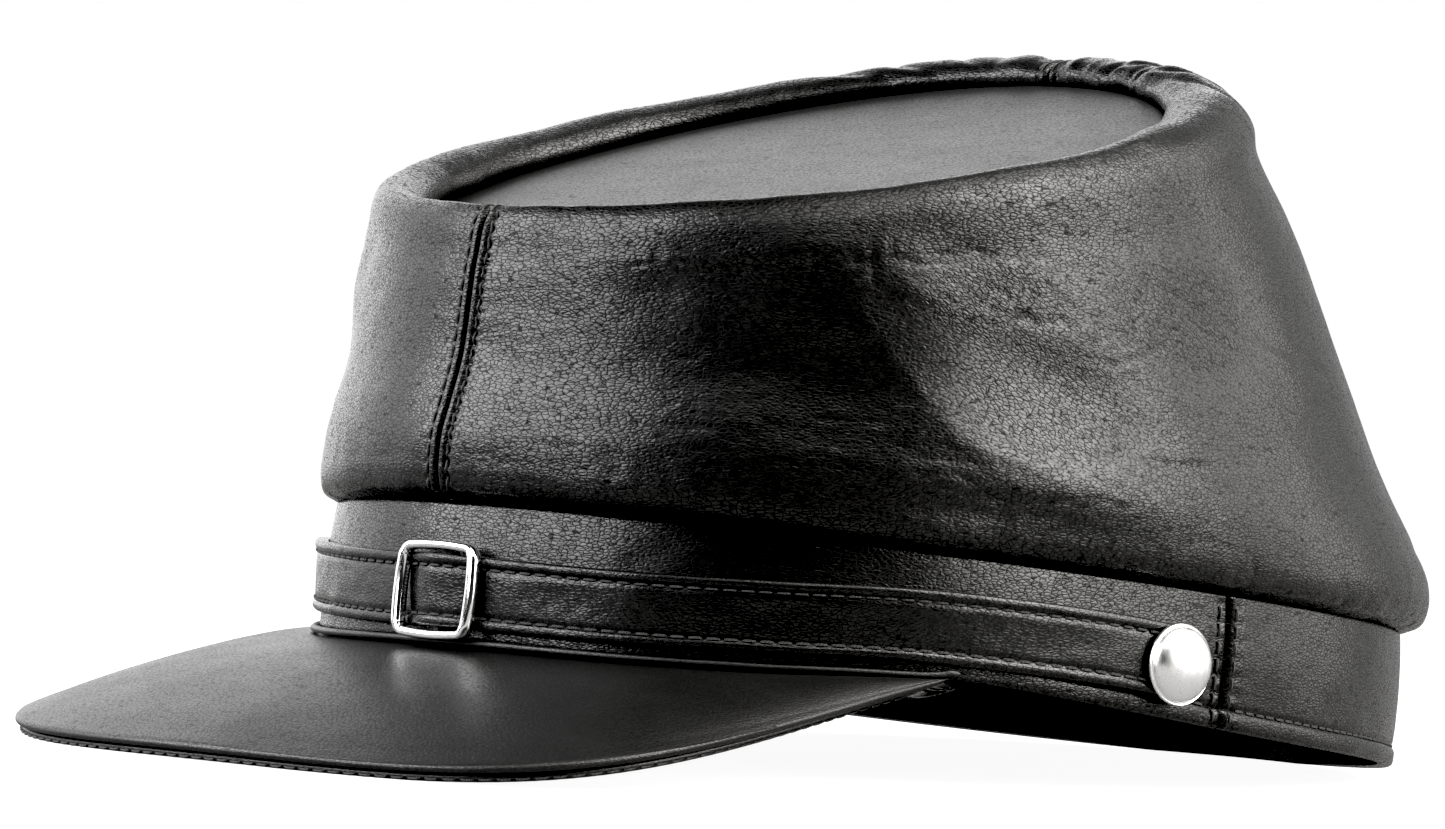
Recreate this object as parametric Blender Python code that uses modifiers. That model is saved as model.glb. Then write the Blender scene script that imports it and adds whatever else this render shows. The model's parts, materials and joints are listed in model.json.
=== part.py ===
"""Kepi cap: a leather crown folded over a sunk top, on a band with a peak and a chin strap.

Lengths are in millimetres in the tables and named sizes, and MM turns them into metres.
The cap is modelled in its own frame: X towards the wearer's left, -Y to the front, +Z up,
with the origin at the middle of the band's oval, level with its mouth. Angles go round that
oval in degrees, from 0 at the front over 90 at the wearer's left to 180 at the back.
The empty "cap_frame" then tips the cap onto its rear hem and the edge of its peak.
"""

from collections import namedtuple
from functools import cache
from math import atan2, ceil, cos, exp, hypot, pi, radians, sin, sqrt, tan

import bmesh
import bpy
from mathutils import Vector

MM = 0.001

# Head size: the band's outer oval.
BAND_HALF_WIDTH = 84.0
BAND_HALF_LENGTH = 104.0
BAND_TOP = 25.0
BAND_THICK = 2.2
BAND_BELLY = 0.25           # how far it bulges half way up
BAND_LEAN = 0.6             # how far its upper edge leans in
BAND_STEP = 6.5             # degrees between sections
HEM_HIGH = 3.3              # rolled hem along its foot, behind the peak's corners
HEM_OUT = 0.6
HEM_START = 60.0            # angles between which the hem rises to its full thickness
HEM_FULL = 67.0
SIDE_SEAM = 87.0            # angle of the band's side seams

# Play between pieces that are sewn or lie on each other.
GAP = 0.3

# Crown leather, its seams and the roll that it makes where it folds over.
CROWN_THICK = 1.8
FRONT_SEAM = -1.8           # the front seam is sewn a little to the wearer's right
BACK_SEAM = 180.0
CREST_HALF_WIDTH = 68.0
CREST_FRONT_Y = -101.3
CREST_BACK_Y = 37.2
CREST_FRONT_Z = 74.5
CREST_BACK_Z = 121.0
CREST_SIDE_SAG = 2.1        # how much lower the crest runs at the sides than straight
ROLL_STEPS = 3              # arcs on each side of the crest
FRONT_COLUMNS = 20          # crown columns from the front seam to where the gathers start
GATHER_COLUMNS = 14         # and on to the back seam

# Gathers of the roll round the back seam.
GATHER_START = 146.0
GATHER_DEPTH = 1.4
GATHERS = 3                 # folds on each side of the back seam
SEAM_FLAT = 1.5             # degrees beside the seam that lie flat

# The roll's two sides, measured from its crest at the front, the sides and the back.
RollSide = namedtuple("RollSide", "name front side back drop_front drop_back")
ROLL_OUTER = RollSide("outer", -3.4, -6.2, -11.6, 8.0, 9.4)
ROLL_INNER = RollSide("inner", 7.0, 7.0, 7.0, 6.6, 6.6)
ROLL_FOOT = 7.7             # how far below the crest the roll is sewn to the top

# Sunk oval top.
TOP_THICK = 1.8
TOP_DROP = 8.1
TOP_EDGE = 7.3              # from the crest to the top's edge, just inside the roll
TOP_RIM = 4.8               # from the crest to its rim, which lies under the roll
TOP_RIM_DROP = 9.4
TOP_SINK = 0.9              # how far its flat middle lies below its front and back edges
TOP_COLUMNS = 36

# Rows of the top from its edge to its flat middle: how far inside the edge, and the shares
# of TOP_SINK and of CREST_SIDE_SAG there.
TopRow = namedtuple("TopRow", "inside sink sag")
TOP_ROWS = [
    TopRow(0.0, 0.0, 1.0),
    TopRow(8.0, 0.35, 0.55),
    TopRow(18.0, 0.8, 0.15),
    TopRow(30.0, 1.0, 0.0),
]

# Peak: an upper leather and a stitched lower layer.
PEAK_CORNER = 56.3          # angle of its corners on the band
PEAK_LAYER = 1.4
PEAK_TIP_Y = -157.7
PEAK_TIP_Z = -18.6
PEAK_SIDE_REACH = 61.0      # handle lengths and ends of the outline's curve
PEAK_SIDE_FLARE = 1.2
PEAK_SIDE_Z = -12.3
PEAK_FRONT_REACH = 82.5
PEAK_FRONT_Z = -23.8
PEAK_ARCH = 3.0             # how far the leather arches between band and edge
PEAK_ARCH_WIDTH = 12.0      # width from which it arches fully
PEAK_TUCK = 1.6             # how far it goes under the band
PEAK_CLEAR = 0.4            # its play below the band's edge
PEAK_EASE = 0.15            # share of the peak over which its edge runs level across the tip
PEAK_STEP = 0.01            # share of the peak used to measure its slope
PEAK_COLUMNS = 26
PEAK_ROWS = 7
UNDERLAY_INSET = 0.5
REST_FLAT = 0.25            # how much the leather gives where the cap rests

WELT_RADIUS = 0.6
WELT_STAND = 0.4            # its play in front of the band
WELT_END = 57.0
WELT_COLUMNS = 32

# Chin strap with its hump over the buckle's bar.
STRAP_THICK = 1.8
STRAP_HALF_HEIGHT = 6.0
STRAP_EDGE = 0.5            # rounding of its edges
STRAP_HUMP = 2.0
STRAP_HUMP_REACH = 8.0
STRAP_STEP = 4.0            # degrees between sections
STRAP_HUMP_ROWS = 6         # sections over half of the hump
STRAP_TIP_TURNS = (22, 42, 60, 78)  # degrees round each end at which it has sections
STRAP_TIP = 1.0             # half height of its last section

# Buckle, a flat slide with a hidden middle bar.
BUCKLE_WIDE = 18.2
BUCKLE_TALL = 16.2
BUCKLE_BAR = 1.6
BUCKLE_DEEP = 2.4
BUCKLE_CORNER = 3.4
BUCKLE_ROUNDING = 0.45
BUCKLE_STAND = 1.8          # its back over the band's front
BUCKLE_PIN_RADIUS = 0.9
BUCKLE_PIN_STAND = 1.3
BUCKLE_PIN_LENGTH = 13.6
BUCKLE_PIN_SIDES = 10

# Buttons.
BUTTON_ANGLE = 79.7
BUTTON_Z = 12.2
BUTTON_RADIUS = 6.8
BUTTON_HIGH = 3.9
BUTTON_RIM = 0.35
SHANK_RADIUS = 1.0
SHANK_HOLE_RADIUS = 1.35
SHANK_HOLE_SIDES = 12
SHANK_HOLE_LENGTH = 12.0
BUTTON_SIDES = 16

# Lower edge of the band: height at angles on either side of the front.
Foot = namedtuple("Foot", "angle z")
BAND_FOOT = [
    Foot(0, 2.3),
    Foot(22, 2.4),
    Foot(36, 3.2),
    Foot(50, 4.6),
    Foot(60, 4.8),
    Foot(72, 3.8),
    Foot(92, 2.3),
    Foot(125, 1.6),
    Foot(180, 1.4),
]

# Middle of the chin strap: height at angles from its right button round the front to its
# left one. It rides a little higher on the wearer's right.
StrapRun = namedtuple("StrapRun", "angle z")
STRAP_RUN = [
    StrapRun(-84, 12.2),
    StrapRun(-72, 13.4),
    StrapRun(-58, 14.0),
    StrapRun(-44, 13.2),
    StrapRun(-30, 11.6),
    StrapRun(-12, 10.3),
    StrapRun(0, 10.2),
    StrapRun(24, 10.3),
    StrapRun(38, 11.3),
    StrapRun(52, 12.8),
    StrapRun(64, 13.2),
    StrapRun(74, 13.1),
    StrapRun(84, 12.2),
]

# Sections of the crown's outer face, from the band's seam up to just below the roll.
# Each is an oval that slopes from front_z to back_z and lies lower by sag at its sides;
# steps is how many rows lead up to it.
Ring = namedtuple("Ring", "name half_width front_y back_y front_z back_z sag steps")
CROWN_RINGS = [
    Ring("seam", 83.5, -103.6, 103.6, 25.3, 25.3, 0.0, 1),
    Ring("tuck", 85.0, -105.6, 106.6, 26.2, 26.9, 0.0, 1),
    Ring("bulge", 86.2, -107.4, 109.2, 29.8, 31.4, 0.0, 1),
    Ring("brow", 86.0, -107.9, 108.8, 32.0, 34.6, 0.0, 1),
    Ring("low", 85.0, -107.9, 104.6, 35.5, 40.5, 0.0, 1),
    Ring("waist", 82.0, -107.0, 95.6, 40.5, 52.0, 0.2, 2),
    Ring("middle", 78.6, -105.5, 84.4, 48.0, 68.4, 0.7, 2),
    Ring("upper", 76.5, -105.0, 72.0, 56.0, 84.8, 1.3, 2),
    Ring("high", 75.0, -104.9, 60.0, 63.5, 100.2, 1.8, 2),
]

# Soft dents of the side leather. height is the share of the way up from seam to roll;
# wide is in degrees, tall in shares, and slant turns the dent, in degrees per share.
Dent = namedtuple("Dent", "name angle height depth wide tall slant")
DENTS = [
    Dent("side_hollow", 69, 0.77, 1.6, 9, 0.16, -45),
    Dent("side_ridge", 83, 0.68, -0.9, 7, 0.16, -45),
    Dent("back_fold", 102, 0.88, 1.3, 16, 0.09, -160),
    Dent("roll_tuck", 51, 0.95, 0.9, 5, 0.10, 0),
    Dent("front_tuck", 25, 0.95, 0.6, 5, 0.10, 0),
    Dent("low_hollow", 50, 0.35, 0.9, 14, 0.14, -30),
    Dent("seam_tuck", 88, 0.20, 0.7, 4, 0.14, 0),
]
DENT_FADE = 8               # power by which dents fade only close to the seam and the roll
FAR_SIDE_SHARE = 0.7        # the far side has the same dents, less deep

BLACK_LEATHER = ((0.018, 0.018, 0.019), 0.45, 0.0)
EDGE_LEATHER = ((0.010, 0.010, 0.011), 0.55, 0.0)
CHROME = ((0.80, 0.80, 0.81), 0.10, 1.0)


# ---------------------------------------------------------------- helpers

def clear_scene():
    for thing in list(bpy.data.objects):
        bpy.data.objects.remove(thing, do_unlink=True)


def new_collection(name):
    collection = bpy.data.collections.new(name)
    bpy.context.scene.collection.children.link(collection)
    return collection


def material(name, look):
    colour, roughness, metallic = look
    made = bpy.data.materials.new(name)
    made.use_nodes = True
    shader = made.node_tree.nodes["Principled BSDF"]
    shader.inputs["Base Color"].default_value = (*colour, 1.0)
    shader.inputs["Roughness"].default_value = roughness
    shader.inputs["Metallic"].default_value = metallic
    return made


def curve_through(rows, column, key, at):
    """Value of a column at a place along the key column, on a smooth curve through the rows."""
    xs = [getattr(row, key) for row in rows]
    ys = [getattr(row, column) for row in rows]
    at = min(max(at, xs[0]), xs[-1])
    i = max(k for k in range(len(xs) - 1) if xs[k] <= at)
    rises = [(ys[k + 1] - ys[k]) / (xs[k + 1] - xs[k]) for k in range(len(xs) - 1)]
    slopes = [rises[0]] + [(a + b) / 2 for a, b in zip(rises, rises[1:])] + [rises[-1]]
    span = xs[i + 1] - xs[i]
    u = (at - xs[i]) / span
    return (
        ys[i] * (2 * u ** 3 - 3 * u ** 2 + 1)
        + ys[i + 1] * (3 * u ** 2 - 2 * u ** 3)
        + slopes[i] * span * (u ** 3 - 2 * u ** 2 + u)
        + slopes[i + 1] * span * (u ** 3 - u ** 2)
    )


def oval(angle, grow=0.0):
    """Point on the band's outer oval, or on one that is larger all round."""
    turn = radians(angle)
    return (BAND_HALF_WIDTH + grow) * sin(turn), -(BAND_HALF_LENGTH + grow) * cos(turn)


def oval_normal(angle):
    turn = radians(angle)
    return Vector((sin(turn) / BAND_HALF_WIDTH, -cos(turn) / BAND_HALF_LENGTH, 0)).normalized()


def mm_per_degree(angle, half_width=BAND_HALF_WIDTH, half_length=BAND_HALF_LENGTH):
    turn = radians(angle)
    return hypot(half_width * cos(turn), half_length * sin(turn)) * pi / 180


def band_foot(angle):
    return curve_through(BAND_FOOT, "z", "angle", abs(angle) if abs(angle) <= 180 else 360 - abs(angle))


def spread(start, end, count):
    return [start + (end - start) * i / count for i in range(count + 1)]


def grid_object(name, rows, collection, look, flip=False):
    """An open surface through rows of points, all rows being equally long."""
    mesh = bpy.data.meshes.new(name)
    bm = bmesh.new()
    verts = [[bm.verts.new(Vector(point) * MM) for point in row] for row in rows]
    for lower, upper in zip(verts, verts[1:]):
        for k in range(len(lower) - 1):
            corners = [lower[k], lower[k + 1], upper[k + 1], upper[k]]
            bm.faces.new(corners[::-1] if flip else corners)
    bm.to_mesh(mesh)
    bm.free()
    return finish_object(name, mesh, collection, look)


def loft_object(name, sections, collection, look):
    """A closed solid through sections, each a loop of points, with a face at either end."""
    mesh = bpy.data.meshes.new(name)
    bm = bmesh.new()
    loops = [[bm.verts.new(Vector(point) * MM) for point in section] for section in sections]
    count = len(loops[0])
    for near, far in zip(loops, loops[1:]):
        for k in range(count):
            bm.faces.new((near[k], near[(k + 1) % count], far[(k + 1) % count], far[k]))
    bm.faces.new(loops[0][::-1])
    bm.faces.new(loops[-1])
    bmesh.ops.recalc_face_normals(bm, faces=bm.faces)
    bm.to_mesh(mesh)
    bm.free()
    return finish_object(name, mesh, collection, look)


def finish_object(name, mesh, collection, look):
    thing = bpy.data.objects.new(name, mesh)
    collection.objects.link(thing)
    thing.data.materials.append(material(name, look))
    thing.data.shade_smooth()
    thing.data.set_sharp_from_angle(angle=radians(40))
    thing.parent = bpy.data.objects["cap_frame"]
    return thing


def thicken(thing, thickness):
    """Give an open surface its leather, on the side away from its outer face."""
    shell = thing.modifiers.new("leather", "SOLIDIFY")
    shell.thickness = thickness * MM
    shell.offset = -1.0


def boolean(thing, other, operation):
    cut = thing.modifiers.new(operation.lower(), "BOOLEAN")
    cut.operation = operation
    cut.object = other
    cut.solver = "EXACT"


def as_cutter(thing):
    thing.hide_render = True
    thing.display_type = "WIRE"


# ---------------------------------------------------------------- crown

def crest_ring(front, side, back, drop_front, drop_back):
    """Oval beside the crest of the roll, so far towards the top's middle and below the crest."""
    return Ring(
        "roll",
        CREST_HALF_WIDTH - side,
        CREST_FRONT_Y + front,
        CREST_BACK_Y - back,
        CREST_FRONT_Z - drop_front,
        CREST_BACK_Z - drop_back,
        CREST_SIDE_SAG,
        1,
    )


def ring_point(ring, angle):
    turn = radians(angle)
    middle_y = (ring.front_y + ring.back_y) / 2
    middle_z = (ring.front_z + ring.back_z) / 2
    return Vector((
        ring.half_width * sin(turn),
        middle_y - (ring.back_y - ring.front_y) / 2 * cos(turn),
        middle_z - (ring.back_z - ring.front_z) / 2 * cos(turn) - ring.sag * sin(turn) ** 2,
    ))


def wall_rings():
    """The table's rings with the rows between them, each with its share of the way up."""
    numbered = [dict(ring._asdict(), place=i) for i, ring in enumerate(CROWN_RINGS)]
    Placed = namedtuple("Placed", numbered[0].keys())
    rows = [Placed(**ring) for ring in numbered]
    places = [0.0]
    for i, ring in enumerate(CROWN_RINGS[1:]):
        places += [i + (k + 1) / ring.steps for k in range(ring.steps)]
    columns = ("half_width", "front_y", "back_y", "front_z", "back_z", "sag")
    for place in places:
        values = [curve_through(rows, column, "place", place) for column in columns]
        yield Ring("wall", *values, 1), place / (len(rows) - 1)


def roll_rings():
    """The roll's rings from its outer side over the crest and down to the top's seam."""
    for i in range(-ROLL_STEPS, ROLL_STEPS + 1):
        turn = pi / 2 * abs(i) / ROLL_STEPS
        edge = ROLL_INNER if i > 0 else ROLL_OUTER
        reach, fall = sin(turn), 1 - cos(turn)
        ring = crest_ring(edge.front * reach, edge.side * reach, edge.back * reach,
                          edge.drop_front * fall, edge.drop_back * fall)
        yield ring, cos(turn)
    yield crest_ring(*ROLL_INNER[1:4], ROLL_FOOT, ROLL_FOOT), 0.0


def dent_depth(angle, height):
    """How far the leather lies in at a place, from the table of dents."""
    side = 1.0 if angle >= 0 else FAR_SIDE_SHARE
    depth = 0.0
    for dent in DENTS:
        across = (abs(angle) - dent.angle - dent.slant * (height - dent.height)) / dent.wide
        along = (height - dent.height) / dent.tall
        depth += side * dent.depth / (1 + across ** 2 + along ** 2) ** 2
    return depth * (1 - (2 * height - 1) ** DENT_FADE)


def gather(angle):
    """How far the roll is drawn in by its small folds round the back seam, from 0 to 1."""
    share = (abs(angle) - GATHER_START) / (BACK_SEAM - SEAM_FLAT - GATHER_START)
    if share <= 0:
        return 0.0
    share = min(share, 1.0)
    return sin(pi / 2 * min(1.0, 2 * share)) * (1 + cos(2 * pi * GATHERS * share)) / 2


def crown_angles(side):
    """Column angles of one half, from the front seam to the back seam."""
    clear = GAP / 2 / mm_per_degree(0, CREST_HALF_WIDTH, CREST_HALF_WIDTH)
    start = side * FRONT_SEAM + clear
    front = spread(start, GATHER_START, FRONT_COLUMNS)
    back = spread(GATHER_START, BACK_SEAM - SEAM_FLAT, GATHER_COLUMNS)
    return [side * angle for angle in front[:-1] + back + [BACK_SEAM - clear]]


def crown_half(name, side, collection):
    """Side leather of the crown: up from the band, over the roll and down to the top."""
    angles = crown_angles(side)
    rows = []
    for ring, height in wall_rings():
        row = []
        for angle in angles:
            point = ring_point(ring, angle)
            row.append(point - oval_normal(angle) * dent_depth(angle, height))
        rows.append(row)
    for ring, share in roll_rings():
        row = []
        for angle in angles:
            sink = GATHER_DEPTH * gather(angle) * share
            row.append(ring_point(ring, angle) - Vector((0, 0, sink)))
        rows.append(row)
    half = grid_object(name, rows, collection, BLACK_LEATHER, flip=side < 0)
    thicken(half, CROWN_THICK)
    return half


def top_ring(row):
    """Oval of the sunk top, which lies on a plane from its front to its back."""
    inside, sink = row.inside, row.sink * TOP_SINK
    front_y, back_y = CREST_FRONT_Y + TOP_EDGE, CREST_BACK_Y - TOP_EDGE
    front_z, back_z = CREST_FRONT_Z - TOP_DROP, CREST_BACK_Z - TOP_DROP
    rise = inside * (back_z - front_z) / (back_y - front_y)
    return Ring("top", CREST_HALF_WIDTH - TOP_EDGE - inside, front_y + inside, back_y - inside,
                front_z + rise - sink, back_z - rise - sink, row.sag * CREST_SIDE_SAG, 1)


def crown_top(collection):
    """Sunk oval top, flat in its middle, with a rim turned down under the roll."""
    rim = crest_ring(TOP_RIM, TOP_RIM, TOP_RIM, TOP_RIM_DROP, TOP_RIM_DROP)
    rings = [rim] + [top_ring(row) for row in TOP_ROWS]
    mesh = bpy.data.meshes.new("crown_top")
    bm = bmesh.new()
    angles = spread(0, 360, TOP_COLUMNS)[:-1]
    loops = [[bm.verts.new(ring_point(ring, angle) * MM) for angle in angles] for ring in rings]
    for outer, inner in zip(loops, loops[1:]):
        for k in range(TOP_COLUMNS):
            bm.faces.new((outer[k - 1], outer[k], inner[k], inner[k - 1]))
    bm.faces.new(loops[-1])
    bm.to_mesh(mesh)
    bm.free()
    top = finish_object("crown_top", mesh, collection, BLACK_LEATHER)
    thicken(top, TOP_THICK)
    return top


# ---------------------------------------------------------------- band, welt and peak

def hem_out(angle):
    """How far the rolled hem stands out: nothing over the peak, HEM_OUT behind it."""
    share = (180 - abs(180 - angle % 360) - HEM_START) / (HEM_FULL - HEM_START)
    return HEM_OUT * min(max(share, 0.0), 1.0)


def band_section(angle):
    foot = max(band_foot(angle), floor_height(oval(angle)[1]))
    hem = hem_out(angle)
    outline = [
        (hem / 2, foot), (hem, foot + HEM_HIGH / 3), (hem / 4, foot + HEM_HIGH),
        (BAND_BELLY, (foot + BAND_TOP) / 2), (-BAND_LEAN, BAND_TOP),
        (-BAND_LEAN - BAND_THICK, BAND_TOP), (-BAND_THICK, foot),
    ]
    return [(*oval(angle, grow), z) for grow, z in outline]


def band_length(name, start, end, collection):
    clear = GAP / 2 / mm_per_degree(SIDE_SEAM)
    count = ceil((end - start) / BAND_STEP)
    sections = [band_section(angle) for angle in spread(start + clear, end - clear, count)]
    return loft_object(name, sections, collection, BLACK_LEATHER)


def welt(collection):
    """Thin rolled edge that lies in the corner between band and peak."""
    curve = bpy.data.curves.new("welt", "CURVE")
    curve.dimensions = "3D"
    curve.bevel_depth = WELT_RADIUS * MM
    curve.bevel_resolution = 1
    curve.use_fill_caps = True
    angles = spread(-WELT_END, WELT_END, WELT_COLUMNS)
    spline = curve.splines.new("POLY")
    spline.points.add(len(angles) - 1)
    for point, angle in zip(spline.points, angles):
        x, y = oval(angle, WELT_STAND + WELT_RADIUS)
        point.co = (x * MM, y * MM, (peak_top_at_welt(angle) + GAP + WELT_RADIUS) * MM, 1)
    tube = bpy.data.objects.new("welt", curve)
    collection.objects.link(tube)
    curve.materials.append(material("welt", BLACK_LEATHER))
    tube.parent = bpy.data.objects["cap_frame"]
    return tube


def bezier(p0, p1, p2, p3, u):
    return p0 * (1 - u) ** 3 + p1 * 3 * u * (1 - u) ** 2 + p2 * 3 * u ** 2 * (1 - u) + p3 * u ** 3


def peak_outline(share):
    """Outer edge of the peak: share -1 at the right corner, 0 at the tip, 1 at the left one."""
    x, y = oval(PEAK_CORNER, 1.0)
    corner = Vector((x, y, band_foot(PEAK_CORNER)))
    side = Vector((x + PEAK_SIDE_FLARE, y - PEAK_SIDE_REACH, PEAK_SIDE_Z))
    front = Vector((PEAK_FRONT_REACH, PEAK_TIP_Y, PEAK_FRONT_Z))
    tip = Vector((0, PEAK_TIP_Y, PEAK_TIP_Z))
    point = bezier(tip, front, side, corner, abs(share))
    eased = sqrt(PEAK_EASE ** 2 + (1 - PEAK_EASE ** 2) * share ** 2)
    point.z = bezier(tip, front, side, corner, eased).z
    if share < 0:
        point.x = -point.x
    return point


def peak_point(share, out, inset=0.0):
    """Point on the peak's upper face, from out 0 under the band to out 1 at its edge."""
    angle = PEAK_CORNER * share
    inner = Vector((*oval(angle, -PEAK_TUCK), band_foot(angle) - PEAK_CLEAR))
    edge = peak_outline(share)
    width = (edge - inner).length
    out = out * (1 - inset / width)
    free = max(0.0, (out * width - PEAK_TUCK) / (width - PEAK_TUCK))
    arch = PEAK_ARCH * (1 - exp(-width / PEAK_ARCH_WIDTH)) * 4 * free * (1 - free)
    return inner.lerp(edge, out) + Vector((0, 0, arch))


def peak_top_at_welt(angle):
    """Height of the peak's upper face where the welt lies on it."""
    share = max(-1.0, min(1.0, angle / PEAK_CORNER))
    inner, edge = peak_point(share, 0), peak_outline(share)
    out = (PEAK_TUCK + WELT_RADIUS) / max((edge - inner).length, 2 * PEAK_TUCK)
    return peak_point(share, out).z


def peak_normal(share, out):
    low, high = max(-1.0, share - PEAK_STEP), min(1.0, share + PEAK_STEP)
    near, far = max(0.0, out - PEAK_STEP), min(1.0, out + PEAK_STEP)
    along = peak_point(high, out) - peak_point(low, out)
    across = peak_point(share, far) - peak_point(share, near)
    return across.cross(along).normalized()


def underlay_bottom(share, out):
    """Point on the lower face of the peak's lower layer."""
    face = peak_point(share, out, UNDERLAY_INSET)
    return face - peak_normal(share, out) * (2 * PEAK_LAYER + GAP)


@cache
def rest_points():
    """The place on the peak that a line from the rear hem meets first, and the rear hem."""
    rear = Vector((0, BAND_HALF_LENGTH, band_foot(180)))
    places = [(share, out) for share in spread(0, 1, PEAK_COLUMNS) for out in spread(0, 1, PEAK_ROWS)]
    bottom = [underlay_bottom(share, out) for share, out in places]
    return max(bottom, key=lambda point: atan2(rear.z - point.z, rear.y - point.y)), rear


def rest_pitch():
    """Angle by which the cap's mouth is tipped back when it rests on hem and peak."""
    front, rear = rest_points()
    return atan2(rear.z - front.z, rear.y - front.y)


def floor_height(y):
    """Height of the surface that the cap rests on, in the cap's own frame."""
    rear = rest_points()[1]
    return rear.z + REST_FLAT + (y - rear.y) * tan(rest_pitch())


def peak(collection):
    shares = spread(-1, 1, PEAK_COLUMNS)
    rows = [[peak_point(share, out) for share in shares] for out in spread(0, 1, PEAK_ROWS)]
    upper = grid_object("peak", rows, collection, BLACK_LEATHER, flip=True)
    thicken(upper, PEAK_LAYER)
    return upper


def peak_underlay(collection):
    """Lower layer of the peak, flattened where the cap rests on it."""
    sections = []
    for share in spread(-1, 1, PEAK_COLUMNS):
        upper, lower = [], []
        for out in spread(0, 1, PEAK_ROWS):
            below = underlay_bottom(share, out)
            upper.append(below + peak_normal(share, out) * PEAK_LAYER)
            below.z = max(below.z, floor_height(below.y))
            lower.append(below)
        sections.append(upper + lower[::-1])
    return loft_object("peak_underlay", sections, collection, EDGE_LEATHER)


# ---------------------------------------------------------------- strap, buckle and buttons

def strap_hump(angle):
    """How far the strap stands off to pass over the buckle's bar."""
    reach = abs(angle) * mm_per_degree(0) / STRAP_HUMP_REACH
    return STRAP_HUMP * (1 + cos(pi * reach)) / 2 if reach < 1 else 0.0


def strap_half_height(angle):
    """Half the strap's height, less towards its round ends."""
    past = (abs(angle) - BUTTON_ANGLE) * mm_per_degree(BUTTON_ANGLE)
    if past <= 0:
        return STRAP_HALF_HEIGHT
    return sqrt(max(STRAP_HALF_HEIGHT ** 2 - past ** 2, STRAP_TIP ** 2))


def strap_section(angle):
    middle = curve_through(STRAP_RUN, "z", "angle", angle)
    half = strap_half_height(angle)
    near = GAP + strap_hump(angle)
    far = near + STRAP_THICK
    edge = min(STRAP_EDGE, half / 3)
    outline = [
        (near, -half + edge), (near + edge, -half), (far - edge, -half), (far, -half + edge),
        (far, half - edge), (far - edge, half), (near + edge, half), (near, half - edge),
    ]
    return [(*oval(angle, grow), middle + z) for grow, z in outline]


def strap_angles():
    """Section angles of the left half: close over the hump and at the round end."""
    hump = STRAP_HUMP_REACH / mm_per_degree(0)
    end = STRAP_HALF_HEIGHT / mm_per_degree(BUTTON_ANGLE)
    over = spread(0, hump, STRAP_HUMP_ROWS)
    along = spread(hump, BUTTON_ANGLE, ceil((BUTTON_ANGLE - hump) / STRAP_STEP))[1:]
    tip = [BUTTON_ANGLE + end * sin(radians(turn)) for turn in STRAP_TIP_TURNS]
    return over + along + tip


def chin_strap(collection, cutters):
    left = strap_angles()
    angles = [-angle for angle in left[:0:-1]] + left
    strap = loft_object("chin_strap", [strap_section(a) for a in angles], collection, BLACK_LEATHER)
    for cutter in cutters:
        boolean(strap, cutter, "DIFFERENCE")
    return strap


def rounded_rectangle(curve, half_wide, half_tall, corner):
    """A closed outline of straight sides and four round corners."""
    corner_turns = (0, 22.5, 45, 67.5, 90)
    spline = curve.splines.new("POLY")
    points = []
    for quarter, (sx, sy) in enumerate(((1, 1), (-1, 1), (-1, -1), (1, -1))):
        for turn in corner_turns:
            angle = radians(turn + 90 * quarter)
            points.append((
                sx * (half_wide - corner) + corner * cos(angle),
                sy * (half_tall - corner) + corner * sin(angle),
            ))
    spline.points.add(len(points) - 1)
    for point, (x, y) in zip(spline.points, points):
        point.co = (x * MM, y * MM, 0, 1)
    spline.use_cyclic_u = True


def mesh_from_curve(name, curve, collection, look):
    """A mesh object with the shape of a filled curve, its caps welded on."""
    draft = bpy.data.objects.new(name + "_draft", curve)
    collection.objects.link(draft)
    graph = bpy.context.evaluated_depsgraph_get()
    mesh = bpy.data.meshes.new_from_object(draft.evaluated_get(graph))
    bpy.data.objects.remove(draft, do_unlink=True)
    bm = bmesh.new()
    bm.from_mesh(mesh)
    bmesh.ops.remove_doubles(bm, verts=bm.verts, dist=0.005 * MM)
    bmesh.ops.recalc_face_normals(bm, faces=bm.faces)
    bm.to_mesh(mesh)
    bm.free()
    mesh.materials.clear()
    mesh.name = name
    return finish_object(name, mesh, collection, look)


def rod(name, radius, length, place, direction, collection, sides):
    """A plain cylinder centred on a place, used as the buckle's bar and as hole cutters."""
    mesh = bpy.data.meshes.new(name)
    bm = bmesh.new()
    bmesh.ops.create_cone(
        bm, cap_ends=True, segments=sides, radius1=radius * MM, radius2=radius * MM, depth=length * MM,
    )
    bm.to_mesh(mesh)
    bm.free()
    thing = bpy.data.objects.new(name, mesh)
    collection.objects.link(thing)
    thing.parent = bpy.data.objects["cap_frame"]
    thing.location = Vector(place) * MM
    thing.rotation_euler = Vector(direction).to_track_quat("Z", "Y").to_euler()
    as_cutter(thing)
    return thing


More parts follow.
